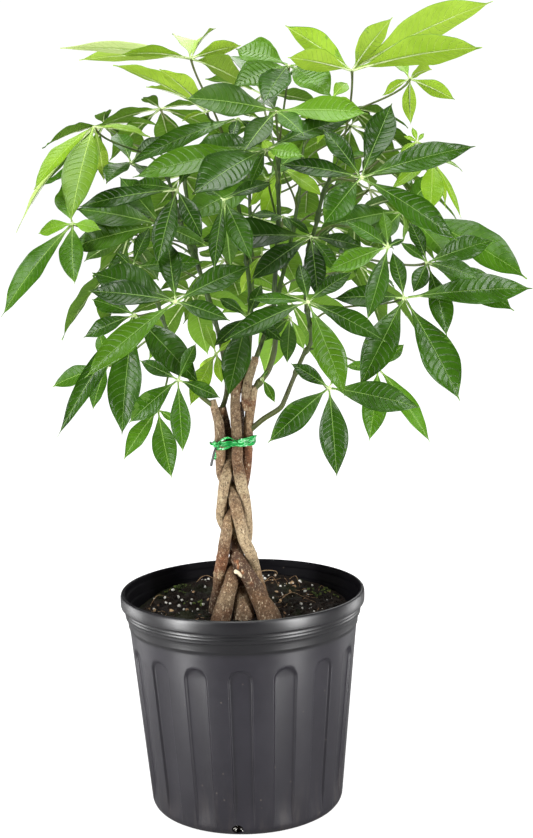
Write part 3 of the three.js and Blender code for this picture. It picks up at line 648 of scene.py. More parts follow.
soilSize = {
    "level": 0.212,
    "radius": 0.1206,
    "sunk": 0.005,  # how far its middle lies below that level
    "heap": 0.014,  # how much higher it lies at the back
    "dish": 0.003,  # and at the wall
    "waves": 0.0016,
    "lumps": 0.0021,
    "clods": 0.0032,
    "edge": (0.108, 0.1196),  # the radii between which the soil grows smooth toward the wall
    "rings": 44,
    "turns": 150,
    "crumbs": 2300,
    "perlite": 150,
    "roots": 46,
    "chips": 60,
    "lumpsPerCushion": 9,
    "reach": 0.1165,  # nothing that lies on the soil reaches past this, into the wall
    "sight": 130,  # lines of sight are followed from this far before the axis to this far behind it
    "sightSteps": 60,
}
perliteSeen = [  # pixel across, pixel down, size in millimetres
    (208, 579, 4.2), (205, 589, 3.4), (173, 593, 3.6), (178, 600, 4.4), (165, 599, 3.2), (166, 604, 3),
    (170, 604, 3), (179, 607, 4.6), (182, 603, 3.6), (191, 606, 4), (192, 601, 3), (203, 605, 4),
    (210, 614, 3.4), (154, 610, 3), (211, 600, 2.6), (193, 568, 3), (198, 571, 2.6), (263, 582, 4.2),
    (265, 580, 3), (275, 576, 2.6), (303, 580, 3), (301, 583, 2.8), (312, 586, 3), (305, 592, 3.2),
    (301, 605, 4), (302, 610, 3.4), (280, 564, 2.4), (246, 595, 2.6), (150, 600, 2.4), (184, 612, 3),
    (198, 612, 3.2), (228, 594, 2.6),
]
algaeSeen = [  # pixel across, pixel down, width in millimetres
    (172, 582, 17), (166, 590, 12), (177, 586, 10), (182, 593, 11), (190, 605, 12), (204, 606, 10),
    (160, 597, 10), (326, 592, 16), (334, 588, 12), (318, 597, 12), (338, 596, 10), (309, 590, 9),
    (175, 578, 9),
]
rootsSeen = [  # pixels, then height above the soil at the middle and thickness in millimetres
    ([(186, 575), (193, 568), (201, 566), (210, 570)], 6, 0.9),
    ([(256, 575), (264, 569), (273, 569), (278, 576), (272, 583)], 6, 1.0),
    ([(262, 586), (272, 582), (279, 588)], 4, 0.7),
    ([(318, 592), (328, 586), (339, 585)], 3, 0.8),
    ([(298, 572), (296, 580), (300, 588)], 5, 0.6),
    ([(150, 606), (158, 600), (170, 599)], 3, 0.7),
    ([(282, 600), (292, 597), (304, 600), (318, 604)], 3, 0.8),
]


def soilHeight(x, y):
    heap = soilSize["heap"] * min(max((y + 0.005) / 0.115, 0), 1) ** 1.5
    rise = soilSize["dish"] * (math.hypot(x, y) / 0.12) ** 2
    wave = soilSize["waves"] * math.sin(x / 0.021 + 1) * math.cos(y / 0.017)
    return soilSize["level"] - soilSize["sunk"] + heap + rise + wave


def soilSurface(x, y):
    lumps = noise.fractal(Vector((x, y, 0)) * 70, 0.9, 2.1, 4) * soilSize["lumps"]
    clods = max(noise.noise(Vector((x, y, 0.4)) * 170), 0) * soilSize["clods"]
    edge = smoothStep(*soilSize["edge"], math.hypot(x, y))
    return soilHeight(x, y) + (lumps + clods) * (1 - 0.6 * edge) - 0.001 * edge


def lyingAt(x, y):
    share = min(soilSize["reach"] / max(math.hypot(x, y), 1e-6), 1)
    return Vector((x * share, y * share, soilSurface(x * share, y * share)))


def onSoil(across, down):
    # where the line of sight through a pixel meets the soil
    sight, steps = soilSize["sight"], soilSize["sightSteps"]
    near, far = fromView(across, down, -sight), fromView(across, down, sight)
    for k in range(steps):
        point = near.lerp(far, k / (steps - 1))
        if point.z < soilSurface(point.x, point.y):
            break
    return lyingAt(point.x, point.y)


def anywhereOnSoil(draw, reach=0.97):
    radius = soilSize["radius"] * reach * math.sqrt(draw.random())
    turn = draw.uniform(0, 2 * math.pi)
    x, y = radius * math.cos(turn), radius * math.sin(turn)
    return Vector((x, y, soilSurface(x, y)))


def addLump(bm, centre, size, draw, subdivisions=1, squash=0.75, ragged=0.3, material=0):
    made = bmesh.ops.create_icosphere(bm, subdivisions=subdivisions, radius=size / 2)
    turn = Quaternion(Vector((draw.gauss(0, 1), draw.gauss(0, 1), draw.gauss(0, 1))), draw.uniform(0, 3))
    shift = Vector((draw.random(), draw.random(), draw.random())) * 9
    stretch = Vector((draw.uniform(0.8, 1.2), draw.uniform(0.7, 1.1), squash))
    for vert in made["verts"]:
        swell = 1 + ragged * noise.noise(vert.co / size * 3 + shift)
        vert.co = centre + turn @ (vert.co * stretch * swell)
    for face in facesRound(made["verts"]):
        face.material_index = material


def addRoot(bm, spots, radius):
    points = []
    for i in range(len(spots) - 1):
        before = spots[i - 1] if i else spots[i]
        after = spots[i + 2] if i + 2 < len(spots) else spots[i + 1]
        start, end = spots[i], spots[i + 1]
        span = interpolate_bezier(start, start + (end - before) / 6, end - (after - start) / 6, end, 7)
        points += span[i > 0:]
    radii = [radius * (1 - 0.6 * k / len(points)) for k in range(len(points))]
    addTube(bm, routeThrough(points, radii), 5, 6 * (len(spots) - 1))


def soilMaterial():
    look = {
        "dark": rgb(10, 8, 7), "brown": rgb(38, 28, 21), "fibre": rgb(84, 64, 44),
        "green": rgb(38, 48, 22),
    }
    material, tree, place = newMaterial("pottingSoil", IOR=1.35, SpecularIORLevel=0.3)
    patches = mottled(tree, place, 60.0, 0.22)
    crumbs = cellsOf(tree, place, 320.0)
    fibres = noiseOf(tree, stretched(tree, place, (260, 900, 500)), 1.0, 4.0, 0.7, 1.4)
    paler = remap(tree, firstOf(tree, crumbs["Color"]), 0.72, 0.95)
    algae = remap(tree, mottled(tree, place, 21.0, 0.14), 0.55, 1.0)
    colour = layered(
        tree, look["dark"], (look["brown"], patches), (look["brown"], paler, 0.5),
        (look["fibre"], remap(tree, fibres, 0.62, 0.74), 0.5), (look["green"], algae, 0.4),
    )
    relief = minus(tree, fibres, crumbs["Distance"])
    return finishLook(material, colour, timesPlus(tree, patches, 0.2, 0.72), relief, 0.9, 0.002)


def perliteMaterial():
    return skinMaterial(
        "perliteGrain", 1.45, (rgb(236, 235, 230), rgb(176, 172, 160)), (240.0, 0.25), (0.2, 0.65),
        1500.0, (0.6, 0.0006), most=0.5, stain=(rgb(112, 98, 76), 0.35, 90.0, 0.1),
    )


def rootMaterial():
    return skinMaterial(
        "fineRoot", 1.4, (rgb(168, 140, 104), rgb(104, 74, 50)), (80.0, 0.15), (0.2, 0.6),
        1200.0, (0.5, 0.0004),
    )


def algaeMaterial():
    look = {"dark": rgb(28, 34, 16), "green": rgb(62, 80, 32), "bright": rgb(112, 128, 56)}
    material, tree, place = newMaterial("algaeCushion", IOR=1.4)
    tufts = grained(tree, place, 900.0)
    patches, tips = mottled(tree, place, 110.0, 0.2), remap(tree, tufts, 0.72, 1.0)
    colour = layered(tree, look["dark"], (look["green"], patches), (look["bright"], tips))
    return finishLook(material, colour, timesPlus(tree, tufts, 0.2, 0.66), tufts, 1.0, 0.0015)


def makeSoilBed(material):
    bm = newBmesh()
    radius, level, rings = soilSize["radius"], soilSize["level"], soilSize["rings"]
    profile = [(0, 0.0054), (outerWall(0.01) - 0.0062, 0.0054), (outerWall(0.18) - 0.0052, 0.18)]
    profile += [(radius, 0.195), (radius, 0.202)]
    profile += [(radius * (1 - k / rings), level) for k in range(rings + 1)]
    addTurned(bm, profile, soilSize["turns"])
    for vert in bm.verts:
        if vert.co.z > level - 0.001:
            vert.co.z = soilSurface(vert.co.x, vert.co.y)
            spread = 1 + 0.2 * max(vert.co.z - 0.206, 0) / radius  # the pot widens upward
            vert.co.x, vert.co.y = vert.co.x * spread, vert.co.y * spread
    finishPiece("soilBed", bm, [material], ["soil"], creaseAngle=1.2)


def makeCrumbs(draw, soil):
    bm = newBmesh()
    for _ in range(soilSize["crumbs"]):
        size = 0.0016 + 0.0045 * draw.random() ** 2.2
        addLump(bm, anywhereOnSoil(draw), size, draw, ragged=0.6)
    finishPiece("soilCrumbs", bm, [soil], creaseAngle=0.4)


def makePerlite(draw, perlite):
    bm = newBmesh()
    for across, down, size in perliteSeen:
        addLump(bm, onSoil(across, down) + Vector((0, 0, 0.0004)), size / 1000, draw, 2, 0.85, 0.5)
    for _ in range(soilSize["perlite"]):
        size = 0.001 + 0.0022 * draw.random() ** 2
        addLump(bm, anywhereOnSoil(draw, 0.95), size, draw, 1, 0.85, 0.5)
    finishPiece("perliteGrains", bm, [perlite], creaseAngle=0.9)


def makeHoleGrains(draw, perlite, soil):
    # soil and perlite that show in the drain holes
    bm = newBmesh()
    for turn in holeTurns():
        for _ in range(potSize["holeGrains"]):
            angle = turn + draw.uniform(-0.06, 0.06)
            level = potSize["holeLevel"] + draw.uniform(-0.004, 0.004)
            reach = outerWall(level) - draw.uniform(0.0035, 0.005)
            spot = Vector((reach * math.cos(angle), reach * math.sin(angle), level))
            addLump(bm, spot, draw.uniform(0.0012, 0.0026), draw, 1, 0.85, 0.5, draw.random() > 0.4)
    finishPiece("holeGrains", bm, [perlite, soil], creaseAngle=0.9)


def makeAlgae(draw):
    bm = newBmesh()
    for across, down, width in algaeSeen:
        centre = onSoil(across, down)
        for _ in range(soilSize["lumpsPerCushion"]):
            away = Vector((draw.gauss(0, 0.3), draw.gauss(0, 0.3), 0)) * width / 1000
            spot = lyingAt(centre.x + away.x, centre.y + away.y)
            addLump(bm, spot, width / 1000 * draw.uniform(0.15, 0.4), draw, 2, 0.6, 0.9)
    finishPiece("algaeCushions", bm, [algaeMaterial()], creaseAngle=0.9)


def makeRoots(draw):
    # the roots that show, others that wander over the soil, and flat chips among them
    bm = newBmesh()
    for pixels, hump, thick in rootsSeen:
        spots = [onSoil(*pixel) for pixel in pixels]
        for i, spot in enumerate(spots):
            spot.z += hump / 1000 * math.sin(math.pi * i / (len(spots) - 1)) - 0.0003
        addRoot(bm, spots, thick / 2000)
    for _ in range(soilSize["roots"]):
        spot = anywhereOnSoil(draw, 0.9)
        turn = draw.uniform(0, 2 * math.pi)
        spots = []
        for _ in range(4):
            spots.append(spot.copy())
            turn += draw.uniform(-0.9, 0.9)
            spot = spot + Vector((math.cos(turn), math.sin(turn), 0)) * draw.uniform(0.003, 0.008)
            spot.z = soilSurface(spot.x, spot.y) + draw.uniform(-0.0006, 0.0014)
        addRoot(bm, spots, draw.uniform(0.0002, 0.00045))
    for _ in range(soilSize["chips"]):
        addLump(bm, anywhereOnSoil(draw), draw.uniform(0.003, 0.007), draw, 1, 0.3, 0.5)
    finishPiece("fineRoots", bm, [rootMaterial()])


def makeSoil():
    soil, perlite = soilMaterial(), perliteMaterial()
    makeSoilBed(soil)
    draw = random.Random(4)
    makeCrumbs(draw, soil)
    makePerlite(draw, perlite)
    makeHoleGrains(draw, perlite, soil)
    makeAlgae(draw)
    makeRoots(draw)


makeSoil()
print("soil made")


# Stems: five woody stems plaited from the soil to the tie, each point given as pixel across,
# pixel down, depth and diameter in millimetres. Tints run down the stem by pixel.

barkTints = {
    "beige": rgb(182, 162, 127),
    "grey": rgb(140, 119, 90),
    "brown": rgb(112, 83, 54),
    "dark": rgb(68, 50, 35),
    "rust": rgb(124, 78, 46),
    "tan": rgb(150, 123, 88),
    "cut": rgb(70, 52, 38),
    "torn": (*rgb(240, 226, 194)[:3], 0.0),  # its last number leaves out the flakes of the bark
    # the seam colour is painted shade between touching stems
    "seam": rgb(34, 25, 18),
    "ochre": rgb(180, 110, 60),
}
stemPlan = {
    "stem_left": {
        "path": [
            (263, 640, 24, 21), (265, 612, 16, 20), (261, 597, 11.5, 17), (257, 580, 10, 13.6),
            (254.5, 567, 4.8, 12.6), (249.9, 552, -7.4, 12.6), (244.5, 540, -8, 13),
            (239.2, 520, -7.8, 13.2), (234.6, 500, -6.8, 12.8), (232.2, 490, 0, 12.2),
            (227.6, 484.5, 5.6, 11.4), (222, 475, 6, 11.4), (221, 467, 4.4, 11.4),
            (220.6, 456, 0.6, 11.4), (220, 440, -2, 11), (218.6, 422, -2, 10.4), (215, 410, -2, 8.6),
            (212.5, 400, -2, 7.2),
        ],
        "tints": [
            (400, "beige"), (410, "grey"), (435, "grey"), (455, "tan"), (480, "grey"), (495, "grey"),
            (515, "tan"), (530, "beige"), (560, "beige"), (575, "tan"), (590, "brown"), (620, "brown"),
        ],
        "seed": 1,
    },
    "stem_left_behind": {
        "path": [
            (271, 640, -20, 28), (269, 617, -15, 26), (260.5, 600, -11.5, 19), (251, 580, -10.5, 17),
            (239.6, 562, -7, 15.6), (235.8, 551, 1.8, 15.4), (233.6, 541, 6, 13.6),
            (228, 530, 8.8, 12.6), (222, 519, 7.8, 11.8), (221.6, 509, 1.5, 11.6),
            (222.6, 498, -5, 11.4), (224.4, 483, -8.4, 11.6), (226.6, 475, -5, 11.4),
            (228.8, 467.5, 0.4, 11), (229.8, 459, 5.6, 10.8), (227.6, 440, 8.6, 10.4),
            (225.5, 424, 7, 9.4), (222, 407, 4.4, 9.2),
        ],
        # its dark stretch from row 420 to 445 is painted shade, where it lies behind the others at the tie
        "tints": [
            (405, "tan"), (413, "rust"), (420, "dark"), (445, "dark"), (456, "tan"), (480, "beige"),
            (525, "beige"), (538, "brown"), (546, "dark"), (580, "dark"), (600, "brown"), (620, "grey"),
        ],
        "stub": [(241.6, 576.4, -14.6, 3), (238.2, 573.4, -17.8, 2.6), (235, 570.4, -19.4, 1.6)],
        "scars": [
            (236.6, 561, 2.4, "ochre"), (238.6, 566, 2.6, "ochre"), (242, 572, 2.4, "ochre"),
            (250.5, 583.5, 3, "rust"), (249, 583, 1.4, "beige"),
        ],
        "seed": 2,
    },
    "stem_middle": {
        "path": [
            (219, 640, -20, 24), (221.5, 617, -14, 22), (226, 600, -9.5, 18), (231.5, 580, -5, 15.6),
            (233.2, 563, 7.2, 13.4), (239.6, 550, 16, 12), (246, 540, 8.6, 12), (247, 520, 2.6, 12),
            (244.8, 500, -3.4, 12.2), (240.6, 480, -6.5, 12.6), (237.4, 460, -6.8, 12),
            (237.2, 440, -6.2, 11.4), (235.5, 415, -4, 11), (235.6, 396, -2, 10.2),
            (239.6, 380, 0.4, 9.2), (245, 363, 2.6, 8.2),
        ],
        "tints": [
            (363, "brown"), (385, "brown"), (400, "grey"), (436, "grey"), (446, "brown"),
            (468, "brown"), (480, "beige"), (535, "beige"), (550, "brown"), (575, "brown"),
            (600, "grey"), (620, "brown"),
        ],
        "scars": [(240, 470, 4, "brown"), (244.5, 497, 3.4, "brown"), (228, 612, 4, "rust")],
        "seed": 3,
    },
    "stem_right": {
        "path": [
            (214, 640, 24, 19), (216.4, 607, 17, 17), (218.6, 590, 8.6, 13.8), (220, 572, 0, 12.8),
            (222.8, 556, -5.4, 13), (225, 540, -8, 12.8), (228.6, 522, -2.4, 12.2),
            (233.6, 508, 6.8, 11.6), (240, 497, 10.4, 10.8), (244.8, 480, 7.7, 10.4),
            (247.4, 461, 2.4, 10.2), (247.8, 440, 0.2, 10.2), (249, 420, 0, 10.2),
            (250.8, 405, 0, 10.4), (253.8, 386, -1, 9.2),
        ],
        "fork": [
            (247, 410, -1.6, 7.4), (245.9, 402, -3, 10.2), (246.4, 393, -3.4, 10),
            (248, 382, -3.6, 9.2), (252.4, 369, -2, 8), (255.5, 357, 0, 7.2),
        ],
        "tints": [
            (357, "tan"), (366, "beige"), (396, "beige"), (403, "rust"), (409, "tan"), (430, "tan"),
            (445, "rust"), (500, "brown"), (518, "tan"), (536, "grey"), (548, "brown"), (560, "rust"),
            (572, "rust"), (574.6, "beige"), (577.6, "brown"), (600, "dark"),
        ],
        "seed": 4,
    },
    "stem_back": {
        "path": [
            (243.5, 640, -12, 26), (243.5, 617, -8, 24), (242.5, 600, -1, 17.6), (242.8, 580, 8.4, 14),
            (244.4, 571, 13, 12.8), (249.2, 561, 20.4, 11.8), (249.2, 549, 27, 11.4),
            (241, 538, 23.6, 11.6), (235, 526, 20.6, 11.4), (228.6, 512, 19, 11),
            (225.4, 500, 13.4, 10.8), (230, 490, 14, 11), (234.4, 481, 15.4, 11),
            (237.4, 468, 13.8, 10.8), (239, 452, 12, 10.4), (239.4, 440, 11, 10.2), (240, 422, 13, 10),
            (239, 402, 15, 9.6),
        ],
        "tints": [(400, "dark"), (450, "brown"), (520, "dark"), (570, "brown"), (610, "grey")],
        "seed": 5,
    },
}
stemSize = {
    "sides": 26,
    "ringsPerMetre": 620,
    "thicker": 1.01,
    "lumps": 0.07,
    "pimples": 0.03,
    "knots": 9,
    "knotHeight": 0.0007,
    "knotLength": 0.0016,
    "wet": (0.232, 0.212),  # the heights between which the bark darkens toward the soil
    "seam": (0.0024, 0.0002),  # how near another stem must be for the painted shade to start and be full
}


def barkMaterial():
    look = {"shadow": rgb(58, 38, 24), "speck": rgb(232, 216, 184), "rust": rgb(132, 84, 52)}
    material, tree, place = newMaterial("stemBark", IOR=1.42)
    painted = addNode(tree, "ShaderNodeAttribute", attribute_name="tint").outputs
    tint = painted["Color"]
    long = stretched(tree, place, (1, 1, 0.3))
    patches = mottled(tree, long, 95.0, 0.16)
    cracks = noiseOf(tree, stretched(tree, place, (800, 800, 90)), 1.0, 4.0, 0.65, 0.6)
    pale = speckled(tree, long, 420.0, 0.28, 0.3)
    scurf = noiseOf(tree, place, 330.0, 5.0, 0.85, 0.4)  # fine flakes, dark and pale
    colour = layered(
        tree, tint,
        (mixColours(tree, 0.5, tint, look["shadow"]), patches, 0.7),
        (look["rust"], mottled(tree, place, 55.0, 0.12), 0.2),
        (look["shadow"], remap(tree, cracks, 0.54, 0.68), 0.5),
        (look["shadow"], remap(tree, scurf, 0.5, 0.58), 0.7),
        (look["speck"], remap(tree, scurf, 0.45, 0.37), 0.45),
        (look["shadow"], speckled(tree, place, 240.0, 0.3, 0.35), 0.65),
        (look["speck"], pale, 0.55),
    )
    colour = mixColours(tree, painted["Alpha"], tint, colour)
    relief = timesPlus(tree, pale, 0.5, times(tree, cracks, -0.9))
    relief = timesPlus(tree, scurf, -1.2, timesPlus(tree, patches, 0.35, relief))
    return finishLook(material, colour, timesPlus(tree, patches, 0.15, 0.6), relief, 0.8, 0.0013)


def tintAt(stops, down):
    # the bark colour at a pixel row, between the two stops round it
    (_, first), (_, second), share = between(stops, down)
    return Vector(barkTints[first]).lerp(Vector(barkTints[second]), share)


def crevice(point, others):
    # how deep a point of the bark lies in the corner between its stem and another, 0 to 1, for the painted
    # shade there
    nearest = 1.0
    for tree, radii in others:
        _, index, away = tree.find(point)
        nearest = min(nearest, away - radii[index])
    return smoothStep(*stemSize["seam"], nearest)


def woodyShape(route, draw):
    # uneven thickness: slow swellings all round, and leaf scars that ring part of the stem
    length = route["lengths"][-1]
    shift = draw.uniform(0, 50)
    knots = [
        (draw.uniform(0.2, 0.98), draw.random(), draw.uniform(0.5, 1)) for _ in range(stemSize["knots"])
    ]

    def shape(share, turn, radius):
        angle = 2 * math.pi * turn
        spot = Vector((math.cos(angle), math.sin(angle), share * length * 45 + shift))
        swell = 1 + stemSize["lumps"] * noise.noise(spot) + stemSize["pimples"] * noise.noise(spot * 3)
        ridge = 0
        for at, side, strength in knots:
            near = math.exp(-((share - at) * length / stemSize["knotLength"]) ** 2)
            facing = 0.5 + 0.5 * math.cos(angle - 2 * math.pi * side)
            ridge += stemSize["knotHeight"] * strength * near * facing
        return radius * stemSize["thicker"] * swell + ridge

    return shape


def routeTree(route):
    tree = KDTree(len(route["points"]))
    for i, point in enumerate(route["points"]):
        tree.insert(point, i)
    tree.balance()
    return tree, route["radii"]


def barkAt(point, plan, others):
    # the colour of a stem at a point: its tints, its scars, the foot darker toward the soil and painted
    # shade in the seams between stems
    across, down = seenAt(point)
    colour = tintAt(plan["tints"], down + 7 * noise.noise(point * 260))
    for spotAcross, spotDown, reach, tint in plan.get("scars", ()):
        away = math.hypot(across - spotAcross, down - spotDown) + 2 * noise.noise(point * 700)
        colour = colour.lerp(Vector(barkTints[tint]), 0.85 * smoothStep(reach, 0.4 * reach, away))
    wet = smoothStep(*stemSize["wet"], point.z)
    colour = colour.lerp(Vector(barkTints["dark"]), 0.6 * wet)
    return colour.lerp(Vector(barkTints["seam"]), 0.85 * crevice(point, others))


def makeStem(name, plan, material):
    draw = random.Random(plan["seed"])
    bm = newBmesh()
    tintLayer = bm.verts.layers.float_color.new("tint")
    others = [routeTree(viewRoute(other["path"])) for other in stemPlan.values() if other is not plan]
    for part in ("path", "fork", "stub"):
        if part not in plan:
            continue
        route = viewRoute(plan[part])
        rings = round(route["lengths"][-1] * stemSize["ringsPerMetre"])
        verts = addTube(bm, route, stemSize["sides"], rings, shape=woodyShape(route, draw))
        top, topRadius = route["points"][-1], route["radii"][-1]
        for vert in verts:
            if part == "stub":  # a twig broken off, its wood still pale
                vert[tintLayer] = barkTints["torn"]
            elif (vert.co - top).length < 0.7 * topRadius:
                vert[tintLayer] = barkTints["cut"]
            else:
                vert[tintLayer] = barkAt(vert.co, plan, others)
    finishPiece(pieceNamed(name) + "Wood", bm, [material], [name])


barkLook = barkMaterial()
for stemName, plan in stemPlan.items():
    makeStem(stemName, plan, barkLook)
print("stems made")


# Twist tie: a shiny ribbon round the stems, twisted at the front and knotted at the left

tieSize = {
    "middle": (233.3, 441, 2),
    "halfWidth": 0.0235,
    "halfDepth": 0.0172,
    "tilt": 0.066,
    "thickness": 0.0004,
    "steps": 150,
    "columns": 8,
    # turn in degrees from the right, half height in millimetres, twist in degrees
    "stations": [
        (-180, 2.2, 50), (-150, 1.9, 160), (-128, 2.4, 185), (-112, 2.9, 190), (-100, 3.2, 172),
        (-84, 3.0, 188), (-66, 4.4, 181), (-40, 4.9, 178), (-12, 4.9, 182), (20, 3.4, 200),
        (60, 2.6, 220), (110, 3, 180), (150, 2.4, 120), (180, 2.2, 50),
    ],
    # loose ends at the knot: route, half width, and the turn of the edge over it and at its start
    "ends": [
        ([(238, 442.4, -21, 2), (229, 437.6, -20.5, 2), (222, 440, -16, 2), (216.4, 446, -12, 2)],
         0.0015, 3.0, 0.4),
        ([(230, 446.6, -20.5, 2), (223, 449, -17, 2), (218, 448.4, -14.5, 2), (215.4, 445, -12, 2)],
         0.0013, 2.4, 1.2),
        ([(216.6, 446, -12.6, 2), (215.4, 451, -14.6, 2), (215.4, 456, -15, 2), (214.2, 459.5, -14, 2)],
         0.0013, 2.0, 2.0),
        ([(214, 441.5, -8, 2), (217.6, 443.4, -14, 2), (218.8, 449, -14.5, 2), (214.8, 449.6, -12, 2)],
         0.0014, 3.4, 0.9),
    ],
    "knot": (216.4, 446.2, -12.4),
    "knotSize": 0.0062,
    "wire": [(216, 447, -14, 2.2), (214, 453, -17, 2.4), (212.6, 459, -17, 2.6), (211, 465.8, -16, 2.9)],
}


def tieMaterial():
    look = {"green": rgb(30, 172, 76), "deep": rgb(6, 84, 34), "bright": rgb(140, 234, 162)}
    material, tree, place = newMaterial("tiePlastic", IOR=1.5, CoatWeight=0.6, CoatRoughness=0.08)
    folds = noiseOf(tree, stretched(tree, place, (160, 160, 620)), 1.0, 3.0, 0.5, 0.4)
    patches = mottled(tree, place, 130.0, 0.2)
    # painted shade in the hollows of the folds and a painted highlight on their crests
    hollow, crestHighlight = remap(tree, folds, 0.45, 0.32), remap(tree, folds, 0.55, 0.66)
    coats = [(look["deep"], patches, 0.5), (look["deep"], hollow), (look["bright"], crestHighlight)]
    colour = layered(tree, look["green"], *coats)
    return finishLook(material, colour, timesPlus(tree, patches, 0.12, 0.16), folds, 0.8, 0.0012)


def wireMaterial():
    return skinMaterial(
        "wireCoat", 1.5, (rgb(22, 24, 24), rgb(58, 62, 60)), (300.0, 0.15), (0.2, 0.35),
        2000.0, (0.4, 0.0003),
    )


def stationAt(turn):
    # the ribbon's half height and its twist at a turn round the stems
    (_, h1, t1), (_, h2, t2), share = between(tieSize["stations"], turn)
    return (h1 + (h2 - h1) * share) / 1000, math.radians(t1 + (t2 - t1) * share)


def addRibbon(bm, steps, columns, lay):
    # a flat strip laid by a function of its length (0 to 1) and its width (-1 to 1), then thickened
    made = bmesh.ops.create_grid(bm, x_segments=steps, y_segments=columns, size=0.5, calc_uvs=True)
    for vert in made["verts"]:
        vert.co = lay(vert.co.x + 0.5, 2 * vert.co.y)
    bmesh.ops.remove_doubles(bm, verts=made["verts"], dist=1e-6)
    faces = facesRound(vert for vert in made["verts"] if vert.is_valid)
    bmesh.ops.solidify(bm, geom=list(faces), thickness=tieSize["thickness"])


def addLooseEnd(bm, rows, halfWidth, twist, phase):
    # a twisting strip along a route, its edge turned by twist over its length
    route = viewRoute(rows)

    def lay(along, across):
        point = alongRoute(route, along)[0]
        heading = headingAt(route, along)
        edge = Quaternion(heading, phase + twist * along) @ heading.orthogonal().normalized()
        crimp = 0.0004 * noise.noise(Vector((along * 9, across * 1.5, phase)))
        reach = across * halfWidth * (1 + 0.2 * math.sin(9 * along))
        return point + edge * reach + heading.cross(edge) * crimp

    addRibbon(bm, 24, 4, lay)


def makeTie():
    centre = fromView(*tieSize["middle"])
    width, depth = tieSize["halfWidth"], tieSize["halfDepth"]
    bm = newBmesh()

    def lay(along, across):
        turn = -180 + 360 * along
        half, twist = stationAt(turn)
        angle = math.radians(turn)
        out = Vector((math.cos(angle) / width, math.sin(angle) / depth, 0)).normalized()
        ring = Vector((width * math.cos(angle), depth * math.sin(angle), 0))
        ring.z = tieSize["tilt"] * ring.x
        edge = Vector((0, 0, 1)) * math.cos(twist) + out * math.sin(twist)
        crimp = 0.0007 * noise.noise(Vector((math.cos(angle) * 4, math.sin(angle) * 4, across * 1.3)))
        fold = 0.0005 * math.sin(5 * across + 6 * angle)
        return centre + ring + edge * (across * half) + out * (0.0005 + crimp + fold)

    addRibbon(bm, tieSize["steps"], tieSize["columns"], lay)
    for end in tieSize["ends"]:
        addLooseEnd(bm, *end)
    addLump(bm, fromView(*tieSize["knot"]), tieSize["knotSize"], random.Random(9), 2, 0.7, 0.5)
    addTube(bm, viewRoute(tieSize["wire"]), 8, 16, material=1)
    finishPiece("tieRibbon", bm, [tieMaterial(), wireMaterial()], ["twist_tie"])


makeTie()
print("twist tie made")


# Shoots: green branches from the stems' cut tops

shootPlan = {
    "shoot_right": [
        (253.5, 390, -1, 7), (259, 383, -2, 6.6), (269, 369, -5, 6.2), (275, 345, -8, 5.8),
        (274, 305, -10, 5.2), (276, 260, -12, 5), (279, 215, -15, 4.6), (278, 185, -18, 4.2),
        (279, 150, -22, 3.2),
    ],
    "shoot_lower_right": [
        (249, 431, 0, 6.4), (262, 420, -6, 5.8), (281, 407, -14, 5.6), (284.6, 400, -16, 5.2),
        (292, 382, -20, 4.8), (303, 356, -26, 4.6), (311, 341, -30, 4.8), (306, 300, -34, 4.6),
        (307, 258, -36, 4.4), (316, 225, -38, 4.2), (323, 195, -40, 4), (338, 160, -44, 3.2),
    ],
    "shoot_middle": [
        (245, 367, 2, 5.6), (249, 335, 6, 5.2), (250, 295, 12, 4.8), (246, 257, 16, 4.6),
        (240, 215, 20, 4.2), (230, 165, 16, 3.8), (221, 128, 8, 3),
    ],
    "shoot_left": [
        (221, 411, 4, 6), (225, 400, 6, 5.6), (227, 385, 8, 5.4), (220, 340, 4, 5), (207, 292, -6, 4.6),
        (192, 252, -14, 4.4), (181, 224, -20, 4), (172, 190, -26, 3.4), (160, 160, -28, 2.8),
    ],
    "shoot_far_left": [
        (213.5, 406, -2, 5.6), (208, 402, -4, 5), (199, 394, -10, 4.6), (184, 366, -26, 4.4),
        (166, 328, -42, 4), (154, 290, -52, 3.2),
    ],
}
# sprays at the back: the bearing they face, in degrees from +X towards +Y, the fan of their leaves
# and how many there are
sprayPlan = {
    "spray_back_right": {
        "path": [
            (255, 361, 0, 5.4), (259, 350, 6, 5.2), (266, 330, 22, 5), (280, 285, 46, 4.8),
            (292, 235, 64, 4.4), (300, 185, 78, 3.8), (304, 140, 88, 3),
        ],
        "bearing": 44, "fan": 34, "leaves": 6, "seed": 11,
    },
    "spray_back_left": {
        "path": [
            (236.5, 411, 14, 5), (233, 396, 19, 5), (224, 350, 40, 5.2), (208, 300, 58, 4.8),
            (194, 245, 72, 4.4), (186, 190, 84, 3.8), (182, 140, 92, 3),
        ],
        "bearing": 134, "fan": 38, "leaves": 6, "seed": 5,
    },
    "spray_back": {
        "path": [
            (243, 408, 18, 5), (246, 392, 27, 5), (250, 340, 62, 4.8), (252, 280, 92, 4.4),
            (250, 210, 112, 4), (248, 150, 122, 3.2),
        ],
        "bearing": 90, "fan": 36, "leaves": 6, "seed": 3,
    },
}
shootSize = {"sides": 12, "ringsPerMetre": 420, "joint": 0.0012, "jointLength": 0.003, "budLength": 0.014}


def shootMaterial():
    look = {
        "green": rgb(66, 94, 28), "dark": rgb(26, 42, 12), "brown": rgb(92, 80, 42),
        "speck": rgb(150, 156, 98),
    }
    material, tree, place = newMaterial("shootSkin", IOR=1.45)
    long = stretched(tree, place, (1, 1, 0.25))
    patches = mottled(tree, long, 120.0, 0.2)
    dots = speckled(tree, long, 520.0, 0.32, 0.4)
    woody = remap(tree, heightOf(tree, place), 0.54, 0.47)
    coats = [(look["green"], patches), (look["brown"], woody, 0.35), (look["speck"], dots, 0.35)]
    colour = layered(tree, look["dark"], *coats)
    relief = plus(tree, grained(tree, long, 1100.0), times(tree, dots, 0.6))
    return finishLook(material, colour, timesPlus(tree, patches, 0.15, 0.42), relief, 0.5, 0.0005)


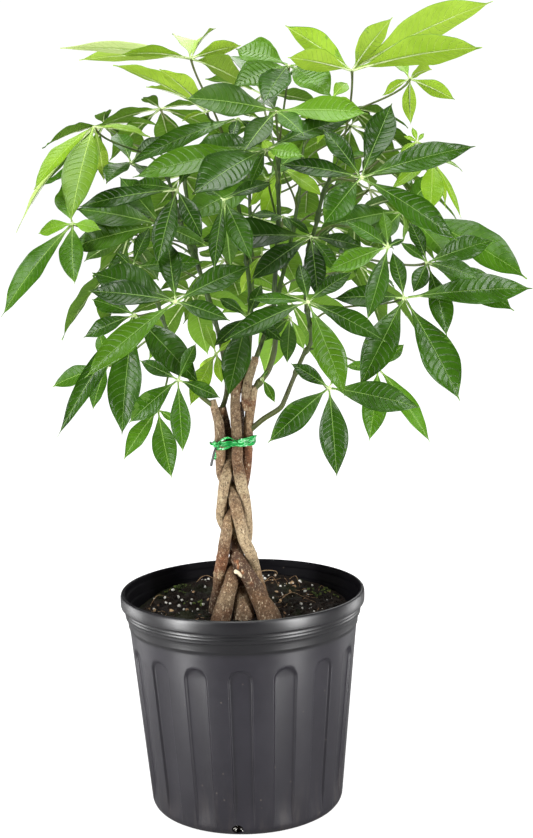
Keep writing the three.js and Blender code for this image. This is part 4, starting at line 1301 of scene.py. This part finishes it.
def addShoot(bm, route, joints, material=0):
    # a tapering branch, a little thicker at each joint where a leaf stands, ending in a bud
    length = route["lengths"][-1]

    def shape(share, turn, radius):
        swell = sum(math.exp(-((share - at) * length / shootSize["jointLength"]) ** 2) for at in joints)
        spot = Vector((math.cos(6.28 * turn), math.sin(6.28 * turn), share * length * 60))
        bud = smoothStep(0, 1, (1 - share) * length / shootSize["budLength"]) ** 0.5
        thick = radius * (1 + 0.05 * noise.noise(spot)) + shootSize["joint"] * min(swell, 1)
        return thick * max(bud, 0.1)

    addTube(bm, route, shootSize["sides"], round(length * shootSize["ringsPerMetre"]), material, shape)


# Leaves. Each has its shoot and how far along it grows, the hub where its leaflets meet, the
# way its plane leans (depth gained per step across and per step up), its tone, the tips of its
# leaflets, and for some the push on its petiole in millimetres. A tip's third value is its own depth
# from the hub, for leaflets that leave the plane, its fourth its width as a share of its length, and
# its fifth how pale it is, or how dark below 0: partly the leaflet's own tone and partly painted
# light and shade on it.

leafKeys = ("shoot", "at", "hub", "lean", "tone", "tips", "bow")
leafPlan = [
    # top of the crown, seen from below and edge on
    ("shoot_left", 0.97, (94, 127, -60), (0, 3), "lime", [
        (34, 190, -46, 0.26, -0.2), (17, 233, 24, 0.15, 0.6), (71, 223, -84, 0.27, -0.45),
        (104, 182, 4, 0.28, -0.15), (150, 138, -14, None, -0.3),
    ]),
    ("shoot_left", 0.93, (131, 163, -26), (0, 2.4), "deep", [
        (116, 134, 58), (168, 136, 40), (35, 190, 24), (158, 186, -36), (106, 184, -72),
    ]),
    ("shoot_middle", 0.98, (191, 59, 16), (0, -1.1), "lime", [
        (121, 56, -80, 0.18), (60, 49, -10, 0.12, 0.9), (79, 61, 66, 0.16, 0.1), (241, 46, 6, 0.36),
        (247, 86, -34, 0.5, -0.5), (176, 37, 96, 0.26, 0.3), (216, 29, 66, 0.24, 0.35),
    ]),
    ("shoot_middle", 0.94, (207, 112, -74), (0, -3.4), "lime", [
        (113, 66, 0), (146, 88, 70, 0.24), (159, 70, -30, 0.42), (228, 106, 2), (182, 122, 10),
    ], (0, 6, 0)),
    ("shoot_right", 1, (289, 66, -30), (0, 0.8), "deep", [
        (236, 50, 24, 0.6, 0.35), (232, 88, -30, 0.5, 0.2), (263, 104, -62, 0.4),
        (331, 97, -50, 0.5, 0.3), (348, 68, 20, 0.3, 1),
    ]),
    ("shoot_lower_right", 1, (352, 71, -60), (0.2, -0.7), "lime", [
        (285, 26, 20), (393, 18, 10, 0.4), (493, 2, 70, 0.22), (482, 48, -84, 0.26), (288, 58, -44),
    ]),
    ("spray_back_right", 0.97, (410, 79, 60), (0.3, -0.8), "lime", [
        (411, 125, 20), (383, 96, -20), (455, 100, 10), (432, 70, 60), (392, 62, 50),
    ]),
    ("shoot_right", 0.98, (331, 100, 16), (0.2, 0.8), "lime", [
        (357, 107, 20), (317, 145, -20), (304, 124, 10), (347, 84, 40),
    ]),
    ("shoot_right", 0.96, (276, 112, -84), (0, 0.5), "mid", [
        (184, 99, -30, 0.38, -0.5), (244, 152, -46, 0.36, -0.8), (264, 100, 60),
        (368, 114, -10, None, 0.25), (304, 136, -50),
    ]),
    ("shoot_right", 0.86, (266, 150, -112), (-0.1, 0.6), "deep", [
        (192, 196, -46, 0.46, -0.3), (133, 178, 6, 0.24, 0.2), (187, 152, 50, 0.32),
        (304, 157, -30, 0.4, 0.45), (251, 185), (352, 119, 40, 0.24),
    ]),
    # upper crown
    ("shoot_left", 0.85, (177, 190, -112), (-0.1, 0.5), "deep", [
        (78, 208, None, 0.2, -0.6), (133, 186, 40), (157, 267, None, 0.3, -0.4), (198, 152),
        (203, 240, None, None, -0.3),
    ]),
    ("shoot_left", 0.76, (162, 226, -64), (-0.3, 0.6), "mid", [
        (76, 210, 36, None, -0.3), (68, 250, None, None, -0.3), (120, 178),
        (206, 246, None, None, -0.4),
    ]),
    ("shoot_left", 0.62, (73, 224, -50), (-0.4, 0.5), "mid", [
        (2, 317, None, 0.24), (75, 285, None, 0.42), (101, 230, -20, 0.36, 0.6),
        (39, 234, 30, None, 0.5), (62, 186, 50),
    ]),
    ("shoot_lower_right", 0.9, (361, 178, -128), (0.1, 0.45), "deep", [
        (392, 104), (323, 130), (280, 165, None, 0.24), (475, 147, None, 0.22), (323, 225, None, 0.48),
        (457, 241, None, 0.25),
    ]),
    ("shoot_lower_right", 0.96, (417, 142, -70), (0.1, 0.5), "lime", [
        (404, 137), (399, 155), (426, 150), (412, 128), (424, 134),
    ]),
    ("shoot_lower_right", 0.88, (432, 160, -60), (0.3, 1), "lime", [
        (430, 212, -30, 0.4), (445, 209, 30, 0.2), (461, 219, -10, 0.12), (391, 190, -10, 0.26),
        (462, 172, 60, 0.12),
    ]),
    ("shoot_lower_right", 0.82, (402, 212, -20), (0.4, 0.7), "mid", [
        (527, 279), (327, 227), (370, 246, -40), (402, 243, 30), (455, 268, -50), (436, 176),
    ]),
    ("shoot_middle", 0.62, (224, 200, -112), (-0.1, 0.8), "deep", [
        (214, 272, -44, 0.2), (231, 268, 10), (252, 262, -44, 0.3), (272, 184, 20), (198, 184, 20),
    ], (0, -14, 0)),
    ("shoot_right", 0.66, (268, 180, -8), (0, 0.6), "mid", [
        (190, 205, 20), (180, 222, -60), (236, 150, 50), (300, 152, 60),
    ]),
    ("spray_back_right", 0.7, (283, 170, 50), (0, 0.8), "lime", [
        (323, 197), (312, 180, 20), (262, 222, -20), (250, 207, 30), (262, 140),
    ]),
    ("shoot_right", 0.56, (283, 217, -50), (0, 0.9), "deep", [
        (251, 216), (292, 232, -20), (310, 235, 10), (270, 222, -20),
    ]),
    ("shoot_middle", 0.9, (238, 119, -44), (0, 0.8), "deep", [
        (128, 166, -10, 0.2), (232, 140, -30, None, -0.4), (262, 140, 10, None, -0.3),
    ]),
    # inside the crown, behind the front leaves
    ("shoot_right", 0.9, (262, 94, 60), (0, -2), "mid", [
        (205, 80, 30), (228, 56, 110), (300, 76, 130), (318, 104, 40), (250, 118, 0),
    ]),
    ("shoot_lower_right", 0.8, (356, 212, 18), (0.6, -1.4), "deep", [
        (394, 250, 24), (356, 276, 0), (318, 240, 40), (400, 198, 10), (338, 178, 50),
    ]),
    ("shoot_left", 0.66, (128, 236, 10), (-0.6, -1.4), "deep", [
        (84, 262, 30), (108, 300, 0), (158, 282, 40), (150, 206, 60), (86, 214, 20),
    ]),
    # middle of the crown
    ("shoot_far_left", 0.97, (132, 268, -88), (-0.1, 0.4), "deep", [
        (117, 253), (103, 277), (150, 228), (203, 263), (152, 293), (122, 300),
    ]),
    ("shoot_far_left", 0.9, (176, 302, -150), (-0.1, 0.5), "deep", [
        (89, 292, None, 0.29, -0.7), (93, 274, 70, None, -0.5), (168, 241, None, None, -0.6),
        (250, 267, None, None, -0.3), (230, 321, None, None, -0.3), (85, 378, None, 0.24, 0.2),
    ]),
    ("shoot_far_left", 0.8, (135, 315, -92), (-0.2, 0.5), "deep", [
        (58, 437, None, 0.15), (122, 437, None, 0.28), (84, 338), (200, 385), (92, 300, 40),
    ]),
    ("shoot_lower_right", 0.7, (388, 247, -160), (0.1, 0.4), "deep", [
        (327, 272, None, None, 0.25), (346, 222), (383, 212, None, None, 0.2), (404, 240),
        (367, 321, None, 0.27),
    ], (0, 18, 0)),
    ("shoot_lower_right", 0.64, (427, 263, -96), (0.2, 0.5), "deep", [
        (493, 241), (480, 281, -44), (514, 311, 20), (447, 337), (409, 222), (400, 243),
        (413, 293, None, 0.5),
    ]),
    ("shoot_lower_right", 0.72, (311, 237, -66), (0, 0.6), "deep", [
        (250, 281, None, None, -0.5), (199, 241, None, None, -0.7), (363, 248), (338, 274),
        (318, 300, None, None, -0.5),
    ]),
    ("shoot_lower_right", 0.5, (308, 302, -140), (0, 0.6), "deep", [
        (250, 300, None, 0.22), (225, 341, None, 0.25), (345, 397, None, 0.28, 0.25),
        (385, 342, None, 0.27, -0.3), (352, 273), (299, 264),
    ]),
    ("shoot_lower_right", 0.44, (404, 298, -128), (0.1, 0.4), "deep", [
        (532, 289, None, 0.23), (460, 401), (359, 388), (333, 299), (392, 252),
    ]),
    ("shoot_middle", 0.28, (248, 317, -72), (0, 0.6), "deep", [
        (219, 299), (214, 347, None, None, -0.4), (228, 398, None, None, -0.3), (283, 342), (262, 285),
    ]),
    ("shoot_middle", 0.44, (262, 255, 30), (0, 0.9), "lime", [
        (241, 294, 12), (256, 274, 40), (286, 262), (262, 222),
    ]),
    # lower crown
    ("shoot_far_left", 0.34, (178, 380, -135), (0, 0.3), "deep", [
        (140, 361), (129, 423, None, 0.36), (183, 453, None, 0.28), (220, 398), (196, 344),
    ]),
    ("shoot_far_left", 0.5, (158, 410, -70), (-0.2, 0.7), "mid", [
        (124, 460), (172, 479), (176, 422),
    ]),
    ("shoot_far_left", 0.66, (108, 366, 10), (-0.4, 0.6), "mid", [
        (53, 387), (92, 398, 30), (93, 411, -40), (100, 332),
    ]),
    ("shoot_lower_right", 0.28, (329, 388, -156), (0, 0.4), "deep", [
        (291, 364), (268, 443), (337, 478, None, None, -0.3), (420, 408, None, None, -0.3), (344, 362),
    ]),
    ("shoot_lower_right", 0.36, (378, 368, -56), (0.2, 0.6), "mid", [
        (430, 443, None, 0.22), (369, 442), (345, 367), (404, 345),
    ]),
    ("shoot_left", 0.16, (216, 354, -20), (0, 0.8), "lime", [
        (200, 382, 30), (222, 384), (190, 406, -30), (236, 340), (206, 326),
    ]),
    ("shoot_right", 0.3, (290, 318, -50), (0, 0.7), "mid", [
        (287, 364), (264, 342), (304, 350, 10), (276, 296),
    ]),
    ("shoot_right", 0.04, (262, 379, -18), (0, 0.7), "mid", [
        (275, 403), (268, 371),
    ]),
]
leafSize = {
    "width": 0.32,  # a leaflet's width as a share of its length
    "cup": 0.12,
    "fold": 0.27,
    "arch": 0.1,
    "wave": 0.05,
    "thickness": 0.0006,
    "columns": 8,
    "rows": 22,
    "stalk": 0.045,  # where the blade starts and how long it is, as shares of the leaflet
    "blade": 0.925,
    "mostPairs": 32.0,  # vein pairs and the distance from the rib are stored as shares of these
    "ribSpan": 40.0,
    "ribRadius": 0.00115,
    "ribTaper": 0.00095,  # how much thinner the rib is at its end
    "ribEnd": 0.75,
    "ribSteps": 8,
    "petioleRadius": 0.00115,
    "petioleSteps": 24,
    "hubRadius": 0.0021,
}
spraySize = {
    "lowest": 0.34,  # how far along its shoot a spray's first leaf grows
    "step": 0.618,  # how far the next leaf turns, as a share of the fan
    "petiole": 0.104,
    "topPetiole": 0.064,
    "leaflet": 0.096,
    "leafletTurns": (-132, -72, -22, 26, 78, 134),
}
leafTones = {
    "deep": {
        "dark": rgb(11, 35, 2), "light": rgb(53, 94, 10),
        "pale": rgb(116, 168, 36), "vein": rgb(128, 166, 80),
        "under": rgb(38, 70, 8), "underLight": rgb(72, 108, 24), "underVein": rgb(124, 158, 78),
        "gloss": 0.21, "relief": 0.85,  # roughness of the sheen, and how deep the veins sink
    },
    "mid": {
        "dark": rgb(30, 67, 5), "light": rgb(76, 121, 17),
        "pale": rgb(136, 184, 48), "vein": rgb(146, 184, 86),
        "under": rgb(74, 114, 18), "underLight": rgb(108, 148, 40), "underVein": rgb(148, 184, 86),
        "gloss": 0.29, "relief": 0.6,
    },
    # lime: paler leaves, partly their own colour and partly painted light shining through them; the bright
    # undersides are painted light through the leaf
    "lime": {
        "dark": rgb(88, 132, 16), "light": rgb(130, 168, 34),
        "pale": rgb(196, 214, 140), "vein": rgb(170, 200, 96),
        "under": rgb(130, 168, 28), "underLight": rgb(162, 196, 60), "underVein": rgb(188, 216, 110),
        "gloss": 0.31, "relief": 0.5,
    },
}


def leafletParts(tree, ribWidth):
    # how far along its leaflet a point lies, the leaflet's shade and paleness, and its veins
    spot = addNode(tree, "ShaderNodeUVMap", uv_map="UVMap").outputs[0]
    along, across, _ = addNode(tree, "ShaderNodeSeparateXYZ", {"Vector": spot}).outputs
    own = addNode(tree, "ShaderNodeAttribute", attribute_name="leaflet").outputs
    shade, pairs, pale = addNode(tree, "ShaderNodeSeparateColor", {"Color": own["Color"]}).outputs
    veins = useGroup(tree, leafVeins, {
        "Along": along, "Across": across, "Pairs": times(tree, pairs, leafSize["mostPairs"]),
        "From rib": times(tree, own["Alpha"], leafSize["ribSpan"]), "Rib width": ribWidth,
    })
    return along, shade, pale, veins


def leafTopMaterial(tone):
    look = leafTones[tone]
    name = "leafTop" + tone.capitalize()
    material, tree, place = newMaterial(name, IOR=1.45, SpecularIORLevel=0.28)
    along, shade, pale, veins = leafletParts(tree, 0.5)
    patches = mottled(tree, place, 34.0, 0.2)
    colour = layered(
        tree, look["dark"],
        (look["light"], timesPlus(tree, patches, 0.45, times(tree, shade, 0.6))),
        # pale lightens a leaflet and below 0 darkens it, partly for its own tone and partly as painted
        # light and shade
        (look["pale"], pale),
        (leafTones["deep"]["dark"], pale, -1.0),
        (look["vein"], remap(tree, along, 0.3, 0.02), 0.3),
        # the humps between the veins lighter than the creases: a painted highlight on the quilting
        (look["light"], veins["Quilt"], 0.14),
        (look["vein"], veins["Vein"], 0.12),
        (look["vein"], veins["Rib"], 0.62),
        (rgb(96, 84, 40), speckled(tree, place, 90.0, 0.12, 0.1), 0.4),
    )
    rough = timesPlus(tree, patches, 0.1, look["gloss"])
    rough = timesPlus(tree, grained(tree, place, 1400.0), 0.05, rough)
    rough = timesPlus(tree, veins["Vein"], 0.15, rough)
    puckers = noiseOf(tree, place, 95.0, 1.0, 0.4)  # uneven hollows between the veins
    deep = remap(tree, noiseOf(tree, place, 28.0, 1.0), 0.4, 0.6, 0.25, 0.85)  # how far veins sink
    relief = timesPlus(tree, puckers, 0.9, times(tree, veins["Quilt"], deep))
    relief = timesPlus(tree, veins["Rib"], -0.8, relief)
    return finishLook(material, colour, rough, relief, look["relief"], 0.0014)


def leafUnderMaterial(tone):
    look = leafTones[tone]
    name = "leafUnder" + tone.capitalize()
    material, tree, place = newMaterial(name, IOR=1.4, SpecularIORLevel=0.3)
    _, shade, pale, veins = leafletParts(tree, 0.95)
    patches = mottled(tree, place, 40.0, 0.2)
    colour = layered(
        tree, look["under"],
        (look["underLight"], timesPlus(tree, patches, 0.5, times(tree, shade, 0.5))),
        # pale lightens a leaflet's underside and below 0 darkens it, partly for its own tone and partly as
        # painted light and shade
        (look["pale"], pale),
        (leafTones["deep"]["under"], pale, -1.0),
        (look["underVein"], veins["Vein"], 0.28),
        (look["underVein"], veins["Rib"], 0.75),
    )
    relief = timesPlus(tree, grained(tree, place, 1600.0), 0.1, veins["Vein"])
    relief = plus(tree, relief, veins["Rib"])
    return finishLook(material, colour, timesPlus(tree, patches, 0.15, 0.5), relief, 0.6, 0.0009)


def stalkMaterial():
    return skinMaterial(
        "leafletStalk", 1.45, (rgb(216, 224, 176), rgb(142, 174, 84)), (160.0, 0.2), (0.15, 0.36),
        2200.0, (0.4, 0.0003),
    )


def petioleMaterial():
    return skinMaterial(
        "petioleSkin", 1.45, (rgb(40, 58, 22), rgb(88, 116, 44)), (60.0, 0.2), (0.15, 0.4),
        1800.0, (0.4, 0.0003), stain=(rgb(96, 72, 40), 0.3, 18.0, 0.12),
    )


def bladeWidth(along, swell):
    # a leaflet's outline: a narrow stalk, widest past the middle, then a drawn-out drip tip
    share = min(max((along - leafSize["stalk"]) / leafSize["blade"], 0.0), 1.0)
    body = math.sin(math.pi * share ** swell) ** 1.08
    drip = 0.05 * smoothStep(1.0, 0.9, along)
    return max(body, drip, 0.02 if along < 0.5 else 0.004)


def leafletSpine(hub, face, tip):
    # an arched line from hub to tip, with the direction across it
    heading = (tip - hub).normalized()
    length = (tip - hub).length
    side = face.cross(heading).normalized()
    middle = (hub + tip) / 2 + heading.cross(side) * (leafSize["arch"] * length)

    def spine(along):
        point = hub * (1 - along) ** 2 + middle * (2 * along * (1 - along)) + tip * along ** 2
        return point, ((middle - hub) * (1 - along) + (tip - middle) * along).normalized()

    return spine, side, length


def addLeaflet(bm, layer, hub, face, tip, width, pale, draw):
    # an upper and an under sheet, folded up along the rib and waved at the edge, and a rib below
    spine, side, length = leafletSpine(hub, face, tip)
    columns, rows = leafSize["columns"], leafSize["rows"]
    shade, phase, swell = draw.random(), draw.uniform(0, 6.28), draw.uniform(1.02, 1.3)
    pairs = 9 + 60 * length + draw.uniform(-1, 1)
    made = bmesh.ops.create_grid(bm, x_segments=rows, y_segments=columns, size=0.5, calc_uvs=True)
    for vert in made["verts"]:
        along, across = vert.co.x + 0.5, 2 * vert.co.y
        point, heading = spine(0.03 + 0.97 * along)
        above = heading.cross(side).normalized()
        reach = across * bladeWidth(along, swell) * width * length / 2
        lift = leafSize["fold"] * math.hypot(reach, 0.002)
        other = 1.3 if across > 0 else 0  # the two edges wave out of step
        ripple = math.sin(17 * along + phase + other) + 0.5 * math.sin(31 * along + 2 * phase)
        waved = leafSize["wave"] * across ** 2 * ripple
        vert.co = point + side * reach + above * (lift + waved * width * length / 2)
        fromRib = min(abs(reach) * 1000 / leafSize["ribSpan"], 1.0)
        vert[layer] = (shade, pairs / leafSize["mostPairs"], pale, fromRib)
    faces = list(facesRound(made["verts"]))
    bmesh.ops.solidify(bm, geom=faces, thickness=-leafSize["thickness"])
    for face in faces:
        face.material_index = 1  # the copies laid above them keep the upper side's material
    below = spine(1.0)[1].cross(side) * 0.0001
    steps = leafSize["ribSteps"]
    points = [spine(leafSize["ribEnd"] * k / steps)[0] - below for k in range(steps + 1)]
    radii = [
        leafSize["ribRadius"] - leafSize["ribTaper"] * (k / steps) ** 0.7 for k in range(steps + 1)
    ]
    addTube(bm, routeThrough(points, radii), 5, 7, material=2)


def addBlade(bm, layer, hub, face, tips, draw):
    for tip, width, pale in tips:
        addLeaflet(bm, layer, hub, face, tip, width or leafSize["width"], pale or 0.0, draw)
    made = bmesh.ops.create_icosphere(bm, subdivisions=2, radius=leafSize["hubRadius"])
    level = Vector((0, 0, 1)).rotation_difference(face)
    for vert in made["verts"]:
        vert.co = hub + level @ Vector((vert.co.x, vert.co.y, vert.co.z * 0.6))
    for patch in facesRound(made["verts"]):
        patch.material_index = 2


def addPetiole(bm, shoot, at, hub, face, bow=(0, 0, 0)):
    # leaves its shoot outward and comes into the hub from under the leaf
    root = alongRoute(shoot, at)[0]
    span = (hub - root).length
    push = Vector((bow[0], bow[2], bow[1])) / 1000
    first = (root + headingAt(shoot, at) * 0.25 * span).lerp(hub, 0.15) + push
    second = (hub - face * 0.22 * span).lerp(root, 0.15) + push
    radius, steps = leafSize["petioleRadius"], leafSize["petioleSteps"]
    points = interpolate_bezier(root, first, second, hub, steps + 1)
    radii = []
    for k in range(steps + 1):
        radii.append(radius * (1 + 0.5 * math.exp(-k / 1.6) + 0.4 * math.exp(-(steps - k) / 1.6)))
    addTube(bm, routeThrough(points, radii), 6, 18, material=3)


def tipOf(leaf, hub, across, down, ownDepth=None):
    level = (fromView(across, down, leaf["hub"][2]) - hub) * 1000
    planeDepth = leaf["lean"][0] * level.x + leaf["lean"][1] * level.z
    planeDepth += leafSize["cup"] * math.hypot(level.x, level.z)
    return fromView(across, down, leaf["hub"][2] + (planeDepth if ownDepth is None else ownDepth))


def makeLeaf(name, leaf, materials):
    draw = random.Random(name)
    hub = fromView(*leaf["hub"])
    face = Vector((leaf["lean"][0], -1, leaf["lean"][1])).normalized()
    if face.z < 0:
        face.negate()
    tips = []
    for row in leaf["tips"]:
        across, down, depth, width, pale = (*row, None, None, None)[:5]
        tips.append((tipOf(leaf, hub, across, down, depth), width, pale))
    bm = newBmesh()
    layer = bm.verts.layers.float_color.new("leaflet")
    addBlade(bm, layer, hub, face, tips, draw)
    addPetiole(bm, shootRoutes[leaf["shoot"]], leaf["at"], hub, face, leaf.get("bow", (0, 0, 0)))
    finishPiece("blade" + name[-2:], bm, materials, [name])


def seededDraw(seed):
    state = seed
    while True:
        state = (state * 1664525 + 1013904223) % 4294967296
        yield state / 4294967296


def sprayLeaf(plan, shoot, i, draw):
    # one leaf of a spray: its place along the shoot, its hub, its face and its tips
    along = spraySize["lowest"] + (1 - spraySize["lowest"]) * i / (plan["leaves"] - 1)
    turn = plan["fan"] * (2 * ((0.15 + i * spraySize["step"]) % 1) - 1)
    bearing = math.radians(plan["bearing"] + turn)
    outward = Vector((math.cos(bearing), math.sin(bearing), 0))
    reach = spraySize["topPetiole" if along > 0.95 else "petiole"] * (0.85 + 0.3 * next(draw))
    hub = alongRoute(shoot, along)[0] + outward * reach
    hub.z += (0.1 + 0.5 * along) * reach
    tilt = math.radians(58 - 34 * along + 12 * (next(draw) - 0.5))
    face = Vector((0, 0, math.cos(tilt))) + outward * math.sin(tilt)
    downhill = outward * math.cos(tilt) - Vector((0, 0, math.sin(tilt)))
    sideways = face.cross(downhill)
    size = spraySize["leaflet"] + 0.03 * next(draw)
    tips = []
    for degrees in spraySize["leafletTurns"]:
        angle = math.radians(degrees + 10 * (next(draw) - 0.5))
        length = size * (0.72 + 0.28 * math.cos(angle)) * (0.92 + 0.16 * next(draw))
        droop = 0.16 + 0.22 * next(draw)
        heading = downhill * math.cos(angle) + sideways * math.sin(angle) - face * droop
        tips.append((hub + heading.normalized() * length, None, None))
    return along, hub, face, tips


def makeSpray(name, plan, materials):
    shoot = shootRoutes[name]
    draw, shades = seededDraw(plan["seed"]), random.Random(plan["seed"])
    bm = newBmesh()
    layer = bm.verts.layers.float_color.new("leaflet")
    joints = []
    for i in range(plan["leaves"]):
        along, hub, face, tips = sprayLeaf(plan, shoot, i, draw)
        joints.append(along)
        addBlade(bm, layer, hub, face, tips, shades)
        addPetiole(bm, shoot, along, hub, face)
    addShoot(bm, shoot, joints, material=4)
    finishPiece(pieceNamed(name), bm, materials, [name])


def makeShoot(name, material):
    bm = newBmesh()
    joints = [leaf["at"] for leaf in leaves if leaf["shoot"] == name]
    addShoot(bm, shootRoutes[name], joints)
    finishPiece(pieceNamed(name.replace("shoot", "branch")), bm, [material], [name])


leaves = [dict(zip(leafKeys, row)) for row in leafPlan]
shootRoutes = {name: viewRoute(path) for name, path in shootPlan.items()}
shootRoutes.update({name: viewRoute(plan["path"]) for name, plan in sprayPlan.items()})

shootLook = shootMaterial()
for shootName in shootPlan:
    makeShoot(shootName, shootLook)
print("shoots made")

stalk, petiole = stalkMaterial(), petioleMaterial()
leafLooks = {
    tone: [leafTopMaterial(tone), leafUnderMaterial(tone), stalk, petiole] for tone in leafTones
}
for i, leaf in enumerate(leaves, 1):
    makeLeaf(f"leaf_{i:02d}", leaf, leafLooks[leaf["tone"]])
print("leaves made")
for sprayName, plan in sprayPlan.items():
    makeSpray(sprayName, plan, leafLooks["mid"] + [shootLook])
print("sprays made")


# Floor and light: a pale studio with soft boxes at both sides and overhead

studio = {
    "floor": rgb(128, 128, 128),
    "floorPatch": rgb(118, 118, 118),
    "sky": (1.0, 1.0, 1.0, 1.0),
    "skyStrength": 0.05,
    "backdropStrength": 1.05,
    "floorGlow": 0.86,  # how far the floor is lifted to white beside the pot, and far from it
    "farGlow": 1.15,
    # name, place, aim, width and height, power in watts
    "boxes": [
        ("keyBox", (-1.45, -1.06, 0.92), (0, 0, 0.36), (0.26, 1.75), 40),
        ("fillBox", (1.32, -1.26, 0.88), (0, 0, 0.34), (0.26, 1.65), 35),
        ("topBox", (-0.1, -0.15, 2.4), (0, 0, 0.5), (1.5, 1.5), 58),
        ("backBox", (0.4, 1.9, 1.7), (0, 0, 0.6), (1.4, 1.4), 18),
        # low strips beside the pot, for the upright bands of light on its wall
        ("bandLeft", (-0.4, -0.31, 0.19), (0, 0, 0.17), (0.1, 0.36), 2.2),
        ("bandRight", (0.37, -0.36, 0.19), (0, 0, 0.17), (0.1, 0.36), 2.2),
        ("edgeLeft", (-0.62, 0.2, 0.21), (0, 0, 0.17), (0.2, 0.4), 2.0),
        ("edgeRight", (0.58, 0.26, 0.21), (0, 0, 0.17), (0.2, 0.4), 1.4),
    ],
}


def cameraRay(tree):
    return addNode(tree, "ShaderNodeLightPath").outputs["Is Camera Ray"]


def makeFloor():
    bm = bmesh.new()
    bmesh.ops.create_grid(bm, x_segments=8, y_segments=8, size=15)
    mesh = meshOf("floor", bm)
    material, tree, place = newMaterial("floorPaper", Roughness=0.9)
    shader = tree.nodes["Principled BSDF"]
    patches = mottled(tree, place, 6.0, 0.3)
    colour = tinted(tree, studio["floor"], studio["floorPatch"], patches, 0.05)
    away = addNode(tree, "ShaderNodeVectorMath", {0: place}, operation="LENGTH").outputs["Value"]
    glow = remap(tree, away, 0.2, 1.6, studio["floorGlow"], studio["farGlow"])
    shader.inputs["Emission Color"].default_value = studio["sky"]
    tree.links.new(colour, shader.inputs["Base Color"])
    tree.links.new(times(tree, cameraRay(tree), glow), shader.inputs["Emission Strength"])
    mesh.materials.append(material)
    floor = addObject("floor", mesh)


def makeAir():
    world = bpy.data.worlds.new("studioAir")
    world.use_nodes = True
    tree = world.node_tree
    sky = tree.nodes["Background"]
    sky.inputs["Color"].default_value = studio["sky"]
    lit, backdrop = studio["skyStrength"], studio["backdropStrength"]
    strength = timesPlus(tree, cameraRay(tree), backdrop - lit, lit)
    tree.links.new(strength, sky.inputs["Strength"])
    bpy.context.scene.world = world


def makeBoxes():
    for name, place, aim, size, power in studio["boxes"]:
        light = bpy.data.lights.new(name, "AREA")
        light.shape = "RECTANGLE"
        light.size, light.size_y = size
        light.energy = power
        box = addObject(name, light)
        box.location = place
        box.rotation_euler = (Vector(aim) - Vector(place)).to_track_quat("-Z", "Y").to_euler()


makeFloor()
makeAir()
makeBoxes()
bpy.context.scene.view_settings.view_transform = "Standard"
print("studio lit")
